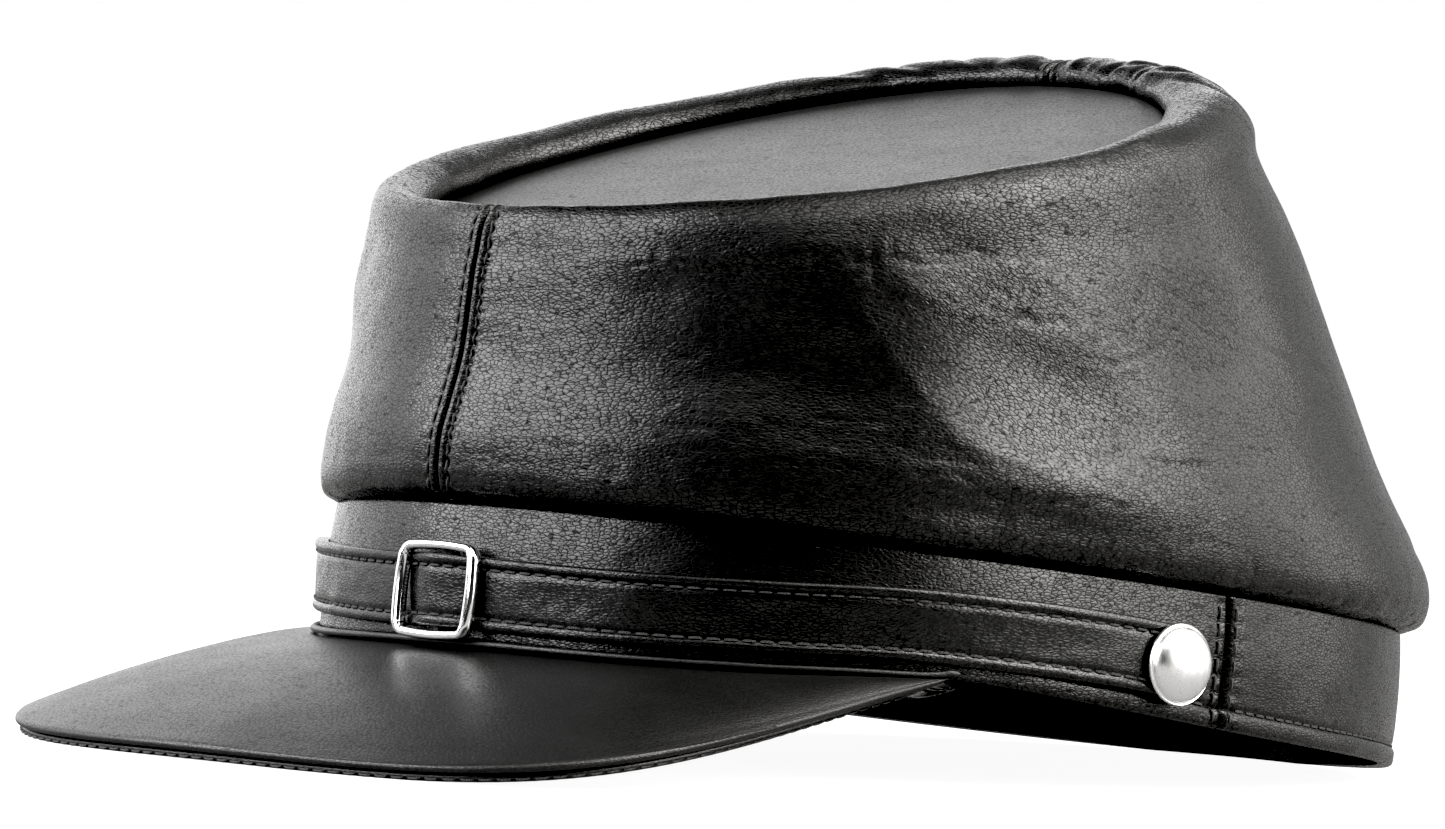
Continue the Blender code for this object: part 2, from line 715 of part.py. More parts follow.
def strap_buckle(collection, helpers):
    """Flat rectangular slide with rounded edges, and the bar that the strap goes over."""
    middle_z = curve_through(STRAP_RUN, "z", "angle", 0)
    half_wide, half_tall = BUCKLE_WIDE / 2, BUCKLE_TALL / 2
    curve = bpy.data.curves.new("strap_buckle", "CURVE")
    curve.dimensions = "2D"
    curve.fill_mode = "BOTH"
    curve.extrude = (BUCKLE_DEEP / 2 - BUCKLE_ROUNDING) * MM
    curve.bevel_depth = BUCKLE_ROUNDING * MM
    curve.bevel_resolution = 1
    rim = BUCKLE_ROUNDING
    rounded_rectangle(curve, half_wide - rim, half_tall - rim, BUCKLE_CORNER - rim)
    inner = BUCKLE_BAR - rim
    rounded_rectangle(curve, half_wide - inner, half_tall - inner, BUCKLE_CORNER - BUCKLE_BAR + rim)
    buckle = mesh_from_curve("strap_buckle", curve, collection, CHROME)
    buckle.rotation_euler = (pi / 2, 0, 0)
    front = -(BAND_HALF_LENGTH + BUCKLE_STAND + BUCKLE_DEEP / 2)
    buckle.location = Vector((0, front, middle_z)) * MM
    pin_y = -(BAND_HALF_LENGTH + BUCKLE_PIN_STAND)
    pin = rod("buckle_pin", BUCKLE_PIN_RADIUS, BUCKLE_PIN_LENGTH,
              (0, pin_y, middle_z), (0, 0, 1), helpers, BUCKLE_PIN_SIDES)
    boolean(buckle, pin, "UNION")
    return buckle


def button(name, side, collection):
    """Domed button on a shank, turned round its own axis."""
    base = GAP + STRAP_THICK + GAP
    shank = base + BAND_THICK
    dome = [(BUTTON_RADIUS * sin(radians(a)), BUTTON_RIM + (BUTTON_HIGH - BUTTON_RIM) * cos(radians(a)))
            for a in (0, 16, 32, 48, 64, 78, 90)]
    profile = dome + [(BUTTON_RADIUS - BUTTON_RIM, 0), (SHANK_RADIUS, 0), (SHANK_RADIUS, -shank), (0, -shank)]
    mesh = bpy.data.meshes.new(name)
    bm = bmesh.new()
    verts = [bm.verts.new((r * MM, 0, z * MM)) for r, z in profile]
    for upper, lower in zip(verts, verts[1:]):
        bm.edges.new((upper, lower))
    bm.to_mesh(mesh)
    bm.free()
    made = finish_object(name, mesh, collection, CHROME)
    turned = made.modifiers.new("turned", "SCREW")
    turned.steps = BUTTON_SIDES
    turned.render_steps = BUTTON_SIDES
    turned.use_merge_vertices = True
    turned.merge_threshold = 0.01 * MM
    x, y = oval(side * BUTTON_ANGLE)
    normal = oval_normal(side * BUTTON_ANGLE)
    made.location = (Vector((x, y, BUTTON_Z)) + normal * base) * MM
    made.rotation_euler = normal.to_track_quat("Z", "Y").to_euler()
    return made


def shank_cutter(name, side, helpers):
    x, y = oval(side * BUTTON_ANGLE)
    return rod(name, SHANK_HOLE_RADIUS, SHANK_HOLE_LENGTH, (x, y, BUTTON_Z),
               oval_normal(side * BUTTON_ANGLE), helpers, SHANK_HOLE_SIDES)


# ---------------------------------------------------------------- whole cap

def stand_cap(frame, collection):
    """Tip the cap onto its rear hem and peak, and centre it over the origin."""
    frame.rotation_euler = (-rest_pitch(), 0, 0)
    bpy.context.view_layer.update()
    graph = bpy.context.evaluated_depsgraph_get()
    corners = []
    for thing in collection.objects:
        if thing.type == "EMPTY":
            continue
        ready = thing.evaluated_get(graph)
        mesh = ready.to_mesh()
        corners += [ready.matrix_world @ vertex.co for vertex in mesh.vertices]
        ready.to_mesh_clear()
    low = Vector([min(corner[i] for corner in corners) for i in range(3)])
    high = Vector([max(corner[i] for corner in corners) for i in range(3)])
    frame.location = -Vector(((low.x + high.x) / 2, (low.y + high.y) / 2, low.z))


def build():
    clear_scene()
    cap = new_collection("kepi_cap")
    helpers = new_collection("helpers")
    frame = bpy.data.objects.new("cap_frame", None)
    cap.objects.link(frame)
    holes = [shank_cutter("shank_hole_left", 1, helpers), shank_cutter("shank_hole_right", -1, helpers)]
    crown_half("crown_left", 1, cap)
    crown_half("crown_right", -1, cap)
    crown_top(cap)
    front = band_length("band_front", -SIDE_SEAM, SIDE_SEAM, cap)
    for hole in holes:
        boolean(front, hole, "DIFFERENCE")
    band_length("band_rear", SIDE_SEAM, 360 - SIDE_SEAM, cap)
    welt(cap)
    peak(cap)
    peak_underlay(cap)
    chin_strap(cap, holes)
    strap_buckle(cap, helpers)
    button("button_left", 1, cap)
    button("button_right", -1, cap)
    stand_cap(frame, cap)


build()
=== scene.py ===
"""Looks of the kepi cap: grained black leather, sewn seams, chromed buckle and buttons.

Every piece is modelled in the cap's own frame, in millimetres: X towards the wearer's left,
-Y to the front, +Z up, with the origin at the middle of the band's oval, level with its
mouth. Angles go round that oval in degrees, from 0 at the front over 90 at the wearer's left
to 180 at the back. cap_to_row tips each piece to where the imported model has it.
"""

import json
from collections import namedtuple
from math import atan2, ceil, cos, hypot, pi, radians, sin, tan

import bmesh
import bpy
import numpy as np
from mathutils import Matrix, Vector


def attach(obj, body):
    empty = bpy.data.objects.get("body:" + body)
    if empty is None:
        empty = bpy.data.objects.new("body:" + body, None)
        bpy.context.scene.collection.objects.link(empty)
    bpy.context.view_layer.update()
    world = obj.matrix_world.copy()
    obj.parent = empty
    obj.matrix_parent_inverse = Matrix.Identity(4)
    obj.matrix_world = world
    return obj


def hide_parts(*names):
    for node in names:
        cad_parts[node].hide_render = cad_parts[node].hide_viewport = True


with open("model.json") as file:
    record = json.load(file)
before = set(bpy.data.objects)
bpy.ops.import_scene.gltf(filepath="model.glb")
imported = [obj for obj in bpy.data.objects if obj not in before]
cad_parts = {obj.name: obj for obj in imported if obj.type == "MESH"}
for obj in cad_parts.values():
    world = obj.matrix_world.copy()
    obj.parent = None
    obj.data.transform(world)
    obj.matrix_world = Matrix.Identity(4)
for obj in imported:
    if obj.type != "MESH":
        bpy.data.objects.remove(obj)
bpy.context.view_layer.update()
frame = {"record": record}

MM = 0.001

# ---------------- sizes of the solids

BAND_HALF_WIDTH = 84.0
BAND_HALF_LENGTH = 104.0
BAND_TOP = 25.0
BAND_THICK = 2.2
BAND_BELLY = 0.25
BAND_LEAN = 0.6
HEM_HIGH = 3.3
HEM_OUT = 0.6
HEM_START = 60.0
HEM_FULL = 67.0
SIDE_SEAM = 87.0
GAP = 0.3

CROWN_THICK = 1.8
FRONT_SEAM = -1.8
BACK_SEAM = 180.0
CREST_HALF_WIDTH = 68.0
CREST_FRONT_Y = -101.3
CREST_BACK_Y = 37.2
CREST_FRONT_Z = 74.5
CREST_BACK_Z = 121.0
CREST_SIDE_SAG = 2.1
ROLL_STEPS = 3
GATHER_START = 146.0
GATHER_DEPTH = 0.9
FAR_GATHER_START = 165.0
PUCKERS_START = 146.0           # where the strong puckers at the back of the roll begin
FAR_PUCKERS_START = 166.0
GATHERS = 3
GATHER_REACH = 14.0             # how far up and down from the top of the roll gathers show
SEAM_FLAT = 1.5
SEAM_TURN_IN = 0.6
SEAM_REACH = 14.0               # how far from a seam the columns of the leather run along with it
SEAM_HOLD = 5.0                 # and how far from it the stitches hold the leather flat
CROWN_TUCK = 2.2                # how far its edge goes down and in behind the band, on the inside
CROWN_TUCK_IN = 0.9

RollSide = namedtuple("RollSide", "front side back drop_front drop_back")
ROLL_OUTER = RollSide(-3.4, -6.2, -11.6, 8.0, 9.4)
ROLL_INNER = RollSide(7.0, 7.0, 7.0, 4.4, 4.4)

# The roll turns back under itself on its way down to the sunk top.
Undercut = namedtuple("Undercut", "reach drop")
ROLL_UNDERCUT = [Undercut(6.4, 5.5), Undercut(5.4, 6.2), Undercut(4.4, 6.5)]

TOP_THICK = 1.8
TOP_DROP = 8.1
TOP_EDGE = 7.3
TOP_RIM = 4.8
TOP_RIM_DROP = 9.4
TOP_SINK = 0.9
TOP_SAG = 1.4                   # how far the leather of the top sags between its seams

TOP_FRONT_Y, TOP_BACK_Y = CREST_FRONT_Y + TOP_EDGE, CREST_BACK_Y - TOP_EDGE
TOP_FRONT_Z, TOP_BACK_Z = CREST_FRONT_Z - TOP_DROP, CREST_BACK_Z - TOP_DROP

# Shares of the top's sink and of the crest's sag, so far inside the top's edge.
TOP_ROWS = ((0.0, 0.0, 1.0), (8.0, 0.35, 0.55), (18.0, 0.8, 0.15), (30.0, 1.0, 0.0))

PEAK_CORNER = 56.3
PEAK_LAYER = 1.4
PEAK_TIP_Y = -157.7
PEAK_TIP_Z = -18.6
PEAK_SIDE_REACH = 61.0
PEAK_SIDE_FLARE = 1.2
PEAK_SIDE_Z = -12.3
PEAK_FRONT_REACH = 82.5
PEAK_FRONT_Z = -23.8
PEAK_ARCH = 2.2
PEAK_ARCH_WIDTH = 12.0
PEAK_TUCK = 1.6
PEAK_CLEAR = 0.4
PEAK_EASE = 0.15
UNDERLAY_INSET = 0.5
UNDERLAY_SCALLOP = 0.2          # how far its stitches draw its edge in
UNDERLAY_ENDS = 0.05            # share of the peak over which it thins at each end, and its least
UNDERLAY_LEAST = 0.15           # thickness there

WELT_RADIUS = 0.6
WELT_STAND = 0.4
WELT_END = 57.0

STRAP_THICK = 1.8
STRAP_TILT = 0.07               # how far its upper edge stands out, for each millimetre
STRAP_STITCHES = 2.0            # how far its two rows of stitches lie from its edges
STRAP_HALF_HEIGHT = 6.0
STRAP_HUMP = 2.0
STRAP_HUMP_REACH = 8.0

BUCKLE_WIDE = 18.2
BUCKLE_TALL = 16.2
BUCKLE_BAR = 1.6
BUCKLE_LEVEL_BAR = 1.6          # the bars' widths as they show, all of it on the inside
BUCKLE_UPRIGHT_BAR = 2.1
BUCKLE_DEEP = 2.4
BUCKLE_CORNER = 2.8
BUCKLE_BOW = 0.55
BUCKLE_BOW_IN = 0.8             # share of the bow by which the sides draw in, to keep the size
BUCKLE_SQUARE = 0.8             # power that makes its bars' section less round
BUCKLE_STAND = 1.8
BUCKLE_PIN_RADIUS = 0.9
BUCKLE_PIN_STAND = 1.3
BUCKLE_PIN_LENGTH = 13.6

BUTTON_ANGLE = 79.7
BUTTON_Z = 12.2
BUTTON_RADIUS = 6.8
BUTTON_HIGH = 3.9
BUTTON_RIM = 0.35
SHANK_RADIUS = 1.0

# Heights at angles round the band: of its lower edge on both sides, and of the strap's middle.
BAND_FOOT = ((0, 2.3), (22, 2.4), (36, 3.2), (50, 4.6), (60, 4.8), (72, 3.8), (92, 2.3),
             (125, 1.6), (180, 1.4))
STRAP_RUN = ((-84, 12.2), (-72, 13.4), (-58, 14.0), (-44, 13.2), (-30, 11.6), (-12, 10.3),
             (0, 10.2), (24, 10.3), (38, 11.3), (52, 12.8), (64, 13.2), (74, 13.1), (84, 12.2))

Ring = namedtuple("Ring", "name half_width front_y back_y front_z back_z sag")
CROWN_RINGS = [
    Ring("seam", 83.5, -103.6, 103.6, 25.3, 25.3, 0.0),
    Ring("tuck", 85.5, -106.4, 107.8, 26.3, 27.0, 0.0),
    Ring("bulge", 86.3, -107.6, 109.3, 29.2, 30.6, 0.0),
    Ring("brow", 86.0, -107.9, 108.8, 32.0, 34.6, 0.0),
    Ring("low", 85.0, -107.9, 104.6, 35.5, 40.5, 0.0),
    Ring("waist", 82.0, -107.0, 95.6, 40.5, 52.0, 0.2),
    Ring("middle", 78.6, -105.5, 84.4, 48.0, 68.4, 0.7),
    Ring("upper", 76.5, -105.0, 72.0, 56.0, 84.8, 1.3),
    Ring("high", 75.0, -104.9, 60.0, 63.5, 100.2, 1.8),
]
HIGH = len(CROWN_RINGS) - 1     # heights on the crown are shares of the way up to this ring
CREST = HIGH + 1 + ROLL_STEPS   # the control oval along the crest of the roll

Dent = namedtuple("Dent", "name angle height depth wide tall slant")
DENTS = [
    Dent("side_hollow", 69, 0.77, 1.6, 9, 0.16, -45),
    Dent("side_ridge", 83, 0.68, -0.9, 7, 0.16, -45),
    Dent("back_fold", 102, 0.88, 1.3, 16, 0.09, -160),
    Dent("roll_tuck", 51, 0.95, 0.9, 5, 0.10, 0),
    Dent("front_tuck", 25, 0.95, 0.6, 5, 0.10, 0),
    Dent("low_hollow", 50, 0.35, 0.9, 14, 0.14, -30),
    Dent("seam_tuck", 88, 0.20, 0.7, 4, 0.14, 0),
]
DENT_FADE = 8
SIDE_RIDGE = 1.7                # soft fold that runs up the side, and its place and reach
SIDE_RIDGE_ANGLE = 56.0
SIDE_RIDGE_HEIGHT = 0.8
SIDE_RIDGE_WIDE = 11.0
SIDE_RIDGE_LEAN = 34.0
SIDE_FILL = 2.0                 # fullness of the side, so that no hollow runs below the roll
SHOULDER_DROP = 1.9             # the far side's shoulder at the front, under the roll
DENT_SOFT = 0.45                # share of the plain solid's dents that the leather shows
FAR_SIDE_SHARE = 0.7
RELIEF_LOW = -1.35              # bounds of how far the leather stands off the plain solid
RELIEF_HIGH = 2.2

# ---------------- sizes of the finish

STITCH_PITCH = 2.9
STITCH_LENGTH = 2.2
STITCH_RADIUS = 0.27
STITCH_SINK = 0.18              # how far a stitch's ends lie in the leather
SEAM_STITCHES = 2.1             # how far a seam's rows of stitches lie from it

WALL_STEP = 0.75                # spacing of the crown's rows on its side and on its roll
ROLL_STEP = 0.5
INNER_EVERY = 4                 # the inside has one row and one column for so many outside

# Spacing of the crown's columns, in runs from the front seam to the back seam.
Run = namedtuple("Run", "length step")
COLUMN_RUNS = [Run(6.0, 0.35), Run(228.0, 0.85), Run(56.0, 0.6), Run(6.0, 0.35)]

# Single creases of the crown: angle and height of both ends and of the middle.
Crease = namedtuple("Crease", "name a0 h0 a1 h1 a2 h2 depth wide")
CREASES = [
    Crease("tuck_under_roll", 51.8, 1.15, 51.0, 1.06, 50.4, 0.95, 0.16, 1.1),
    Crease("tuck_beside", 49.3, 1.12, 49.0, 1.06, 48.6, 1.0, 0.07, 1.0),
    Crease("tuck_after", 54.2, 1.13, 53.6, 1.08, 53.5, 1.03, 0.07, 1.0),
    Crease("front_tuck", 25.0, 1.15, 25.3, 1.09, 25.6, 1.02, 0.17, 1.0),
    Crease("front_tuck_beside", 22.8, 1.12, 22.9, 1.09, 23.2, 1.04, 0.1, 1.0),
    Crease("upper_fold", 61.0, 0.93, 66.0, 0.89, 72.5, 0.88, 0.15, 0.9),
    Crease("upper_fold_beside", 57.5, 0.91, 61.5, 0.89, 67.0, 0.86, 0.08, 0.8),
    Crease("cup", 70.0, 0.86, 76.5, 0.80, 87.5, 0.86, 0.18, 0.9),
    Crease("back_fold_start", 83.5, 0.97, 88.5, 0.92, 95.0, 0.86, 0.21, 1.1),
    Crease("back_fold_long", 92.0, 0.89, 106.0, 0.83, 121.0, 0.77, 0.30, 1.4),
    Crease("back_fold_fork", 88.0, 0.83, 96.0, 0.83, 104.0, 0.77, 0.15, 1.1),
    Crease("hook", 77.0, 0.79, 79.5, 0.75, 82.0, 0.68, 0.19, 0.8),
    Crease("deep_fold", 71.0, 0.76, 73.0, 0.69, 76.5, 0.64, 0.30, 0.9),
    Crease("deep_fold_beside", 72.5, 0.77, 74.8, 0.71, 78.0, 0.66, 0.18, 0.8),
    Crease("deep_fold_end", 74.0, 0.655, 79.0, 0.61, 88.0, 0.63, 0.30, 1.0),
    Crease("inner_fold", 62.0, 0.82, 65.0, 0.79, 68.5, 0.77, 0.17, 0.8),
    Crease("inner_line", 65.3, 0.73, 66.0, 0.71, 67.5, 0.685, 0.18, 0.7),
    Crease("edge_fold", 55.5, 0.76, 60.0, 0.73, 62.5, 0.68, 0.23, 0.9),
    Crease("edge_fold_end", 61.0, 0.69, 65.0, 0.67, 70.5, 0.62, 0.23, 0.9),
    Crease("low_line", 62.0, 0.63, 66.0, 0.60, 71.0, 0.57, 0.15, 0.8),
    Crease("low_tuck", 87.5, 0.39, 87.9, 0.25, 88.2, 0.08, 0.3, 1.1),
    Crease("low_tuck_beside", 85.4, 0.28, 85.7, 0.18, 86.0, 0.06, 0.15, 1.0),
    Crease("back_long", 104.0, 0.70, 118.0, 0.74, 134.0, 0.72, 0.2, 1.87),
    Crease("back_low", 112.0, 0.45, 126.0, 0.50, 142.0, 0.47, 0.15, 2.04),
    Crease("sweep_one", 160.0, 1.85, 150.0, 1.55, 137.0, 1.22, 0.8, 2.0),
    Crease("sweep_two", 152.0, 1.85, 142.0, 1.58, 129.0, 1.28, 0.7, 2.2),
    Crease("sweep_three", 167.0, 1.82, 161.0, 1.55, 152.0, 1.30, 0.5, 1.6),
    Crease("bend_one", 31.0, 1.80, 28.5, 1.66, 26.5, 1.50, 0.3, 1.0),
    Crease("bend_two", 37.0, 1.82, 34.0, 1.68, 31.5, 1.52, 0.3, 1.0),
    Crease("bend_three", 25.0, 1.78, 22.5, 1.66, 20.5, 1.54, 0.25, 1.0),
    Crease("bend_four", 43.0, 1.80, 41.0, 1.68, 40.0, 1.56, 0.25, 1.0),
    Crease("roll_crease", 92.0, 1.55, 88.5, 1.68, 86.0, 1.82, 0.2, 1.02),
]

# Patches of short, fine creases: middle, reach, direction (rise over run in shares of height
# per degree), number, length and depth.
Patch = namedtuple("Patch", "name angle height wide tall slope count length depth")
PATCHES = [
    Patch("side_slant", 68, 0.73, 7, 0.11, -0.013, 140, 4.6, 0.11),
    Patch("side_upper", 64, 0.92, 7, 0.07, -0.008, 50, 5.0, 0.08),
    Patch("dark_side", 42, 0.70, 15, 0.26, -0.001, 150, 5.5, 0.06),
    Patch("meeting_lines", 90, 0.88, 9, 0.08, -0.006, 40, 6.0, 0.08),
    Patch("low_side", 56, 0.42, 12, 0.12, -0.003, 110, 5.0, 0.08),
    Patch("front", 14, 0.60, 10, 0.30, 0.000, 60, 5.0, 0.04),
    Patch("back", 125, 0.80, 20, 0.25, -0.002, 60, 9.0, 0.07),
]
SLANT_FROM = -0.005             # patches steeper than this have their finest creases on a slant too

# Unevenness of each leather, in layers: how high, how far each swell reaches along the piece
# and across it, the shift in both, and the seed.
Layer = namedtuple("Layer", "high long wide shift_u shift_v seed")
CROWN_LAYERS = (Layer(0.30, 17, 14, 0, 9, 1), Layer(0.06, 6, 5, 0, 9, 2),
                Layer(0.015, 2.4, 2.0, 0, 0, 3))
TOP_LAYERS = Layer(0.35, 26, 26, 20, 20, 11), Layer(0.10, 8, 8, 50, 50, 12)
BAND_LAYERS = Layer(0.12, 9, 7, 40, 0, 21), Layer(0.05, 3, 3, 40, 0, 22)
PEAK_LAYERS = Layer(0.12, 19, 19, 30, 30, 31), Layer(0.04, 6, 6, 60, 60, 32)
STRAP_LAYERS = Layer(0.10, 7, 4, 70, 30, 51), Layer(0.05, 2.5, 2, 70, 30, 52)

RISE = np.array([0, 0, 1.0])

# ---------------- helpers

def smooth_step(share):
    share = np.clip(share, 0.0, 1.0)
    return share * share * (3 - 2 * share)


def bell(distance, wide):
    return np.exp(-(distance / wide) ** 2)


def hermite(ys, slopes, i, u, span):
    """Smooth curve between the rows i and i + 1, at the share u of the span between them."""
    return (
        ys[i] * (2 * u ** 3 - 3 * u ** 2 + 1)
        + ys[i + 1] * (3 * u ** 2 - 2 * u ** 3)
        + slopes[i] * span * (u ** 3 - 2 * u ** 2 + u)
        + slopes[i + 1] * span * (u ** 3 - u ** 2)
    )


def curve_through(rows, at, column=1):
    """Values of a column at places along the first one, on a smooth curve through the rows."""
    xs, ys = np.array(rows, float)[:, [0, column]].T
    at = np.clip(at, xs[0], xs[-1])
    i = np.clip(np.searchsorted(xs, at, side="right") - 1, 0, len(xs) - 2)
    rises = np.diff(ys) / np.diff(xs)
    slopes = np.concatenate([rises[:1], (rises[:-1] + rises[1:]) / 2, rises[-1:]])
    span = np.diff(xs)[i]
    return hermite(ys, slopes, i, (at - xs[i]) / span, span)


def unit(vectors):
    return vectors / np.maximum(np.linalg.norm(vectors, axis=-1, keepdims=True), 1e-9)


def stack(x, y, z):
    return np.stack(np.broadcast_arrays(x, y, z), axis=-1).astype(float)


def running(steps):
    return np.concatenate([[0.0], np.cumsum(steps)])


def way_along(path):
    return running(np.linalg.norm(np.diff(path, axis=0), axis=1))


def oval(angle, grow=0.0):
    turn = np.radians(angle)
    return (BAND_HALF_WIDTH + grow) * np.sin(turn), -(BAND_HALF_LENGTH + grow) * np.cos(turn)


def oval_normal(angle):
    turn = np.radians(angle)
    return unit(stack(np.sin(turn) / BAND_HALF_WIDTH, -np.cos(turn) / BAND_HALF_LENGTH, 0.0))


def mm_per_degree(angle):
    turn = np.radians(angle)
    return np.hypot(BAND_HALF_WIDTH * np.cos(turn), BAND_HALF_LENGTH * np.sin(turn)) * pi / 180


def band_foot(angle):
    around = np.abs((np.asarray(angle, float) + 180) % 360 - 180)
    return curve_through(BAND_FOOT, around)


def value_noise(u, v, seed):
    """Smooth random heights from -1 to 1, one for each unit square of u and v."""
    size = 256
    table = np.random.default_rng(seed).uniform(-1, 1, (size, size))
    i, j = np.floor(u).astype(int), np.floor(v).astype(int)
    fu, fv = smooth_step(u - i), smooth_step(v - j)

    def line(j):
        return table[i % size, j % size] * (1 - fu) + table[(i + 1) % size, j % size] * fu

    return line(j) * (1 - fv) + line(j + 1) * fv


def layered(u, v, layers):
    """Sum of layers of smooth random heights."""
    return sum(high * value_noise(u / long + shift_u, v / wide + shift_v, seed)
               for high, long, wide, shift_u, shift_v, seed in layers)


def grid_normals(points):
    """Normals of a grid of points, from its columns and its rows."""
    return unit(np.cross(np.gradient(points, axis=1), np.gradient(points, axis=0)))


def cap_to_row():
    """Rotation about X and offset, in millimetres, that put the cap's own frame in the model's."""
    mount = frame["record"]["mounts"][0]
    slope = atan2(TOP_BACK_Z - TOP_FRONT_Z, TOP_BACK_Y - TOP_FRONT_Y)
    middle = Vector((0, (TOP_FRONT_Y + TOP_BACK_Y) / 2, (TOP_FRONT_Z + TOP_BACK_Z) / 2 - TOP_SINK))
    tipped = atan2(-mount["axis"][1], mount["axis"][2])
    turn = Matrix.Rotation(-(slope - tipped), 3, "X")
    return turn, Vector(mount["pos_m"]) / MM - turn @ middle


TURN, OFFSET = cap_to_row()
TILT = atan2(-TURN[2][1], TURN[1][1])


def to_row(points):
    return (np.asarray(points) @ np.array(TURN).T + np.array(OFFSET)) * MM


def floor_height(y):
    """Height in the cap's frame of the surface that the cap rests on."""
    return -(OFFSET.z - sin(TILT) * y) / cos(TILT)


def foot_height(angle):
    """Height of the band's lower edge, which never goes below the floor."""
    return np.maximum(band_foot(angle), floor_height(oval(angle)[1]))


def quads(grid):
    """Faces between the rows and columns of a grid of vertex numbers."""
    corners = (grid[:-1, :-1], grid[:-1, 1:], grid[1:, 1:], grid[1:, :-1])
    return np.stack(corners, axis=-1).reshape(-1, 4)


def add_piece(name, points, faces, look, slot, replaces=(), marks=None, sharp=50):
    """A mesh in the cap's frame as a piece that rides on the cap."""
    mesh = bpy.data.meshes.new(name)
    mesh.from_pydata(to_row(points).tolist(), [], [list(map(int, face)) for face in faces])
    for mark, values in (marks or {}).items():
        layer = mesh.attributes.new(mark, "FLOAT", "POINT")
        layer.data.foreach_set("value", np.asarray(values, np.float32).ravel())
    bm = bmesh.new()
    bm.from_mesh(mesh)
    bmesh.ops.recalc_face_normals(bm, faces=bm.faces)
    bm.to_mesh(mesh)
    bm.free()
    mesh.shade_smooth()
    mesh.set_sharp_from_angle(angle=radians(sharp))
    mesh.materials.append(look)
    piece = bpy.data.objects.new(name, mesh)
    bpy.context.scene.collection.objects.link(piece)
    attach(piece, "root")
    if replaces:
        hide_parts(*replaces)
    return piece


def kept_few(count):
    """Every few of a count of rows, and the last one."""
    return np.unique(np.append(np.arange(0, count, INNER_EVERY), count - 1))


def shell(outer, inner):
    """Points and faces of a wall between two grids, the inner one coarser, closed all round."""
    rows, columns = outer.shape[:2]
    few_rows, few_columns = kept_few(rows), kept_few(columns)
    face = np.arange(rows * columns).reshape(rows, columns)
    sparse = inner[np.ix_(few_rows, few_columns)]
    back = rows * columns + np.arange(sparse[..., 0].size).reshape(sparse.shape[:2])
    faces = quads(face).tolist() + quads(back)[:, ::-1].tolist()
    edges = ((face[0], back[0], few_columns), (face[-1], back[-1], few_columns),
             (face[:, 0], back[:, 0], few_rows), (face[:, -1], back[:, -1], few_rows))
    for edge, edge_back, few in edges:
        for i in range(len(few) - 1):
            faces.append([*edge[few[i]:few[i + 1] + 1], edge_back[i + 1], edge_back[i]])
    return np.concatenate([outer.reshape(-1, 3), sparse.reshape(-1, 3)]), faces


def loft(sections, ring=False):
    """Points and faces through sections, each a loop of points; ring joins last to first."""
    count, around = sections.shape[:2]
    grid = np.arange(count * around).reshape(count, around)
    grid = np.concatenate([grid, grid[:, :1]], axis=1)
    if ring:
        grid = np.concatenate([grid, grid[:1]])
    faces = quads(grid).tolist()
    if not ring:
        faces += [grid[0, :-1].tolist()[::-1], grid[-1, :-1].tolist()]
    return sections.reshape(-1, 3), faces


def tube(centres, level, rise, radii, sides):
    """Round sections about a line of centres, each between two directions, ready for a loft."""
    turns = 2 * pi * np.arange(sides)[:, None] / sides
    level, rise = np.expand_dims(level, -2), np.expand_dims(rise, -2)
    spokes = level * np.cos(turns) + rise * np.sin(turns)
    return centres[:, None] + np.reshape(radii, (-1, 1, 1)) * spokes


def joined(parts):
    """Points and faces of several parts as one."""
    points, faces, total = [], [], 0
    for made, around in parts:
        faces += [[corner + total for corner in face] for face in around]
        points.append(made)
        total += len(made)
    return np.concatenate(points), faces


def spaced(length, step):
    return np.linspace(0, length, max(2, int(ceil(length / step)) + 1))


# ---------------- stitches

def stitch_row(path, normals, start=0.0, lift=0.0):
    """Thread stitches along a path on the leather, as points and faces."""
    along = way_along(path)
    shares = np.linspace(-1, 1, 7)
    bow = lift + STITCH_RADIUS * 0.7 - (STITCH_SINK + lift) * shares ** 4
    radius = STITCH_RADIUS * np.sqrt(1 - (0.92 * shares) ** 6)
    stitches = []
    for k in range(int((along[-1] - start) / STITCH_PITCH)):
        places = start + (k + 0.5) * STITCH_PITCH + shares * STITCH_LENGTH / 2
        spots, up = (np.stack([np.interp(places, along, line[:, i]) for i in range(3)], axis=-1)
                     for line in (path, normals))
        up = unit(up)
        across = unit(np.cross(unit(np.gradient(spots, axis=0)), up))
        stitches.append(loft(tube(spots + up * bow[:, None], across, up, radius, 6)))
    return joined(stitches)


def stitch_pull(along):
    """How strongly the thread draws the leather in: 1 between two stitches, 0 under one."""
    return 0.5 + 0.5 * np.cos(2 * pi * along / STITCH_PITCH)


def add_stitches(name, rows, look):
    """Several rows of stitches as one mesh."""
    add_piece(name, *joined(rows), look, "edge_leather")


# ---------------- crown

def crest_values(front, side, back, drop_front, drop_back):
    return (CREST_HALF_WIDTH - side, CREST_FRONT_Y + front, CREST_BACK_Y - back,
            CREST_FRONT_Z - drop_front, CREST_BACK_Z - drop_back, CREST_SIDE_SAG)


def crown_controls():
    """Sizes of the crown's ovals from the band's seam up, over the roll and down to the top."""
    values = [ring[1:] for ring in CROWN_RINGS]
    for i in range(-ROLL_STEPS, ROLL_STEPS + 1):
        turn = pi / 2 * abs(i) / ROLL_STEPS
        edge = ROLL_INNER if i > 0 else ROLL_OUTER
        reach, fall = sin(turn), 1 - cos(turn)
        values.append(crest_values(edge.front * reach, edge.side * reach, edge.back * reach,
                                   edge.drop_front * fall, edge.drop_back * fall))
    values += [crest_values(*[row.reach] * 3, *[row.drop] * 2) for row in ROLL_UNDERCUT]
    return np.array(values, float)


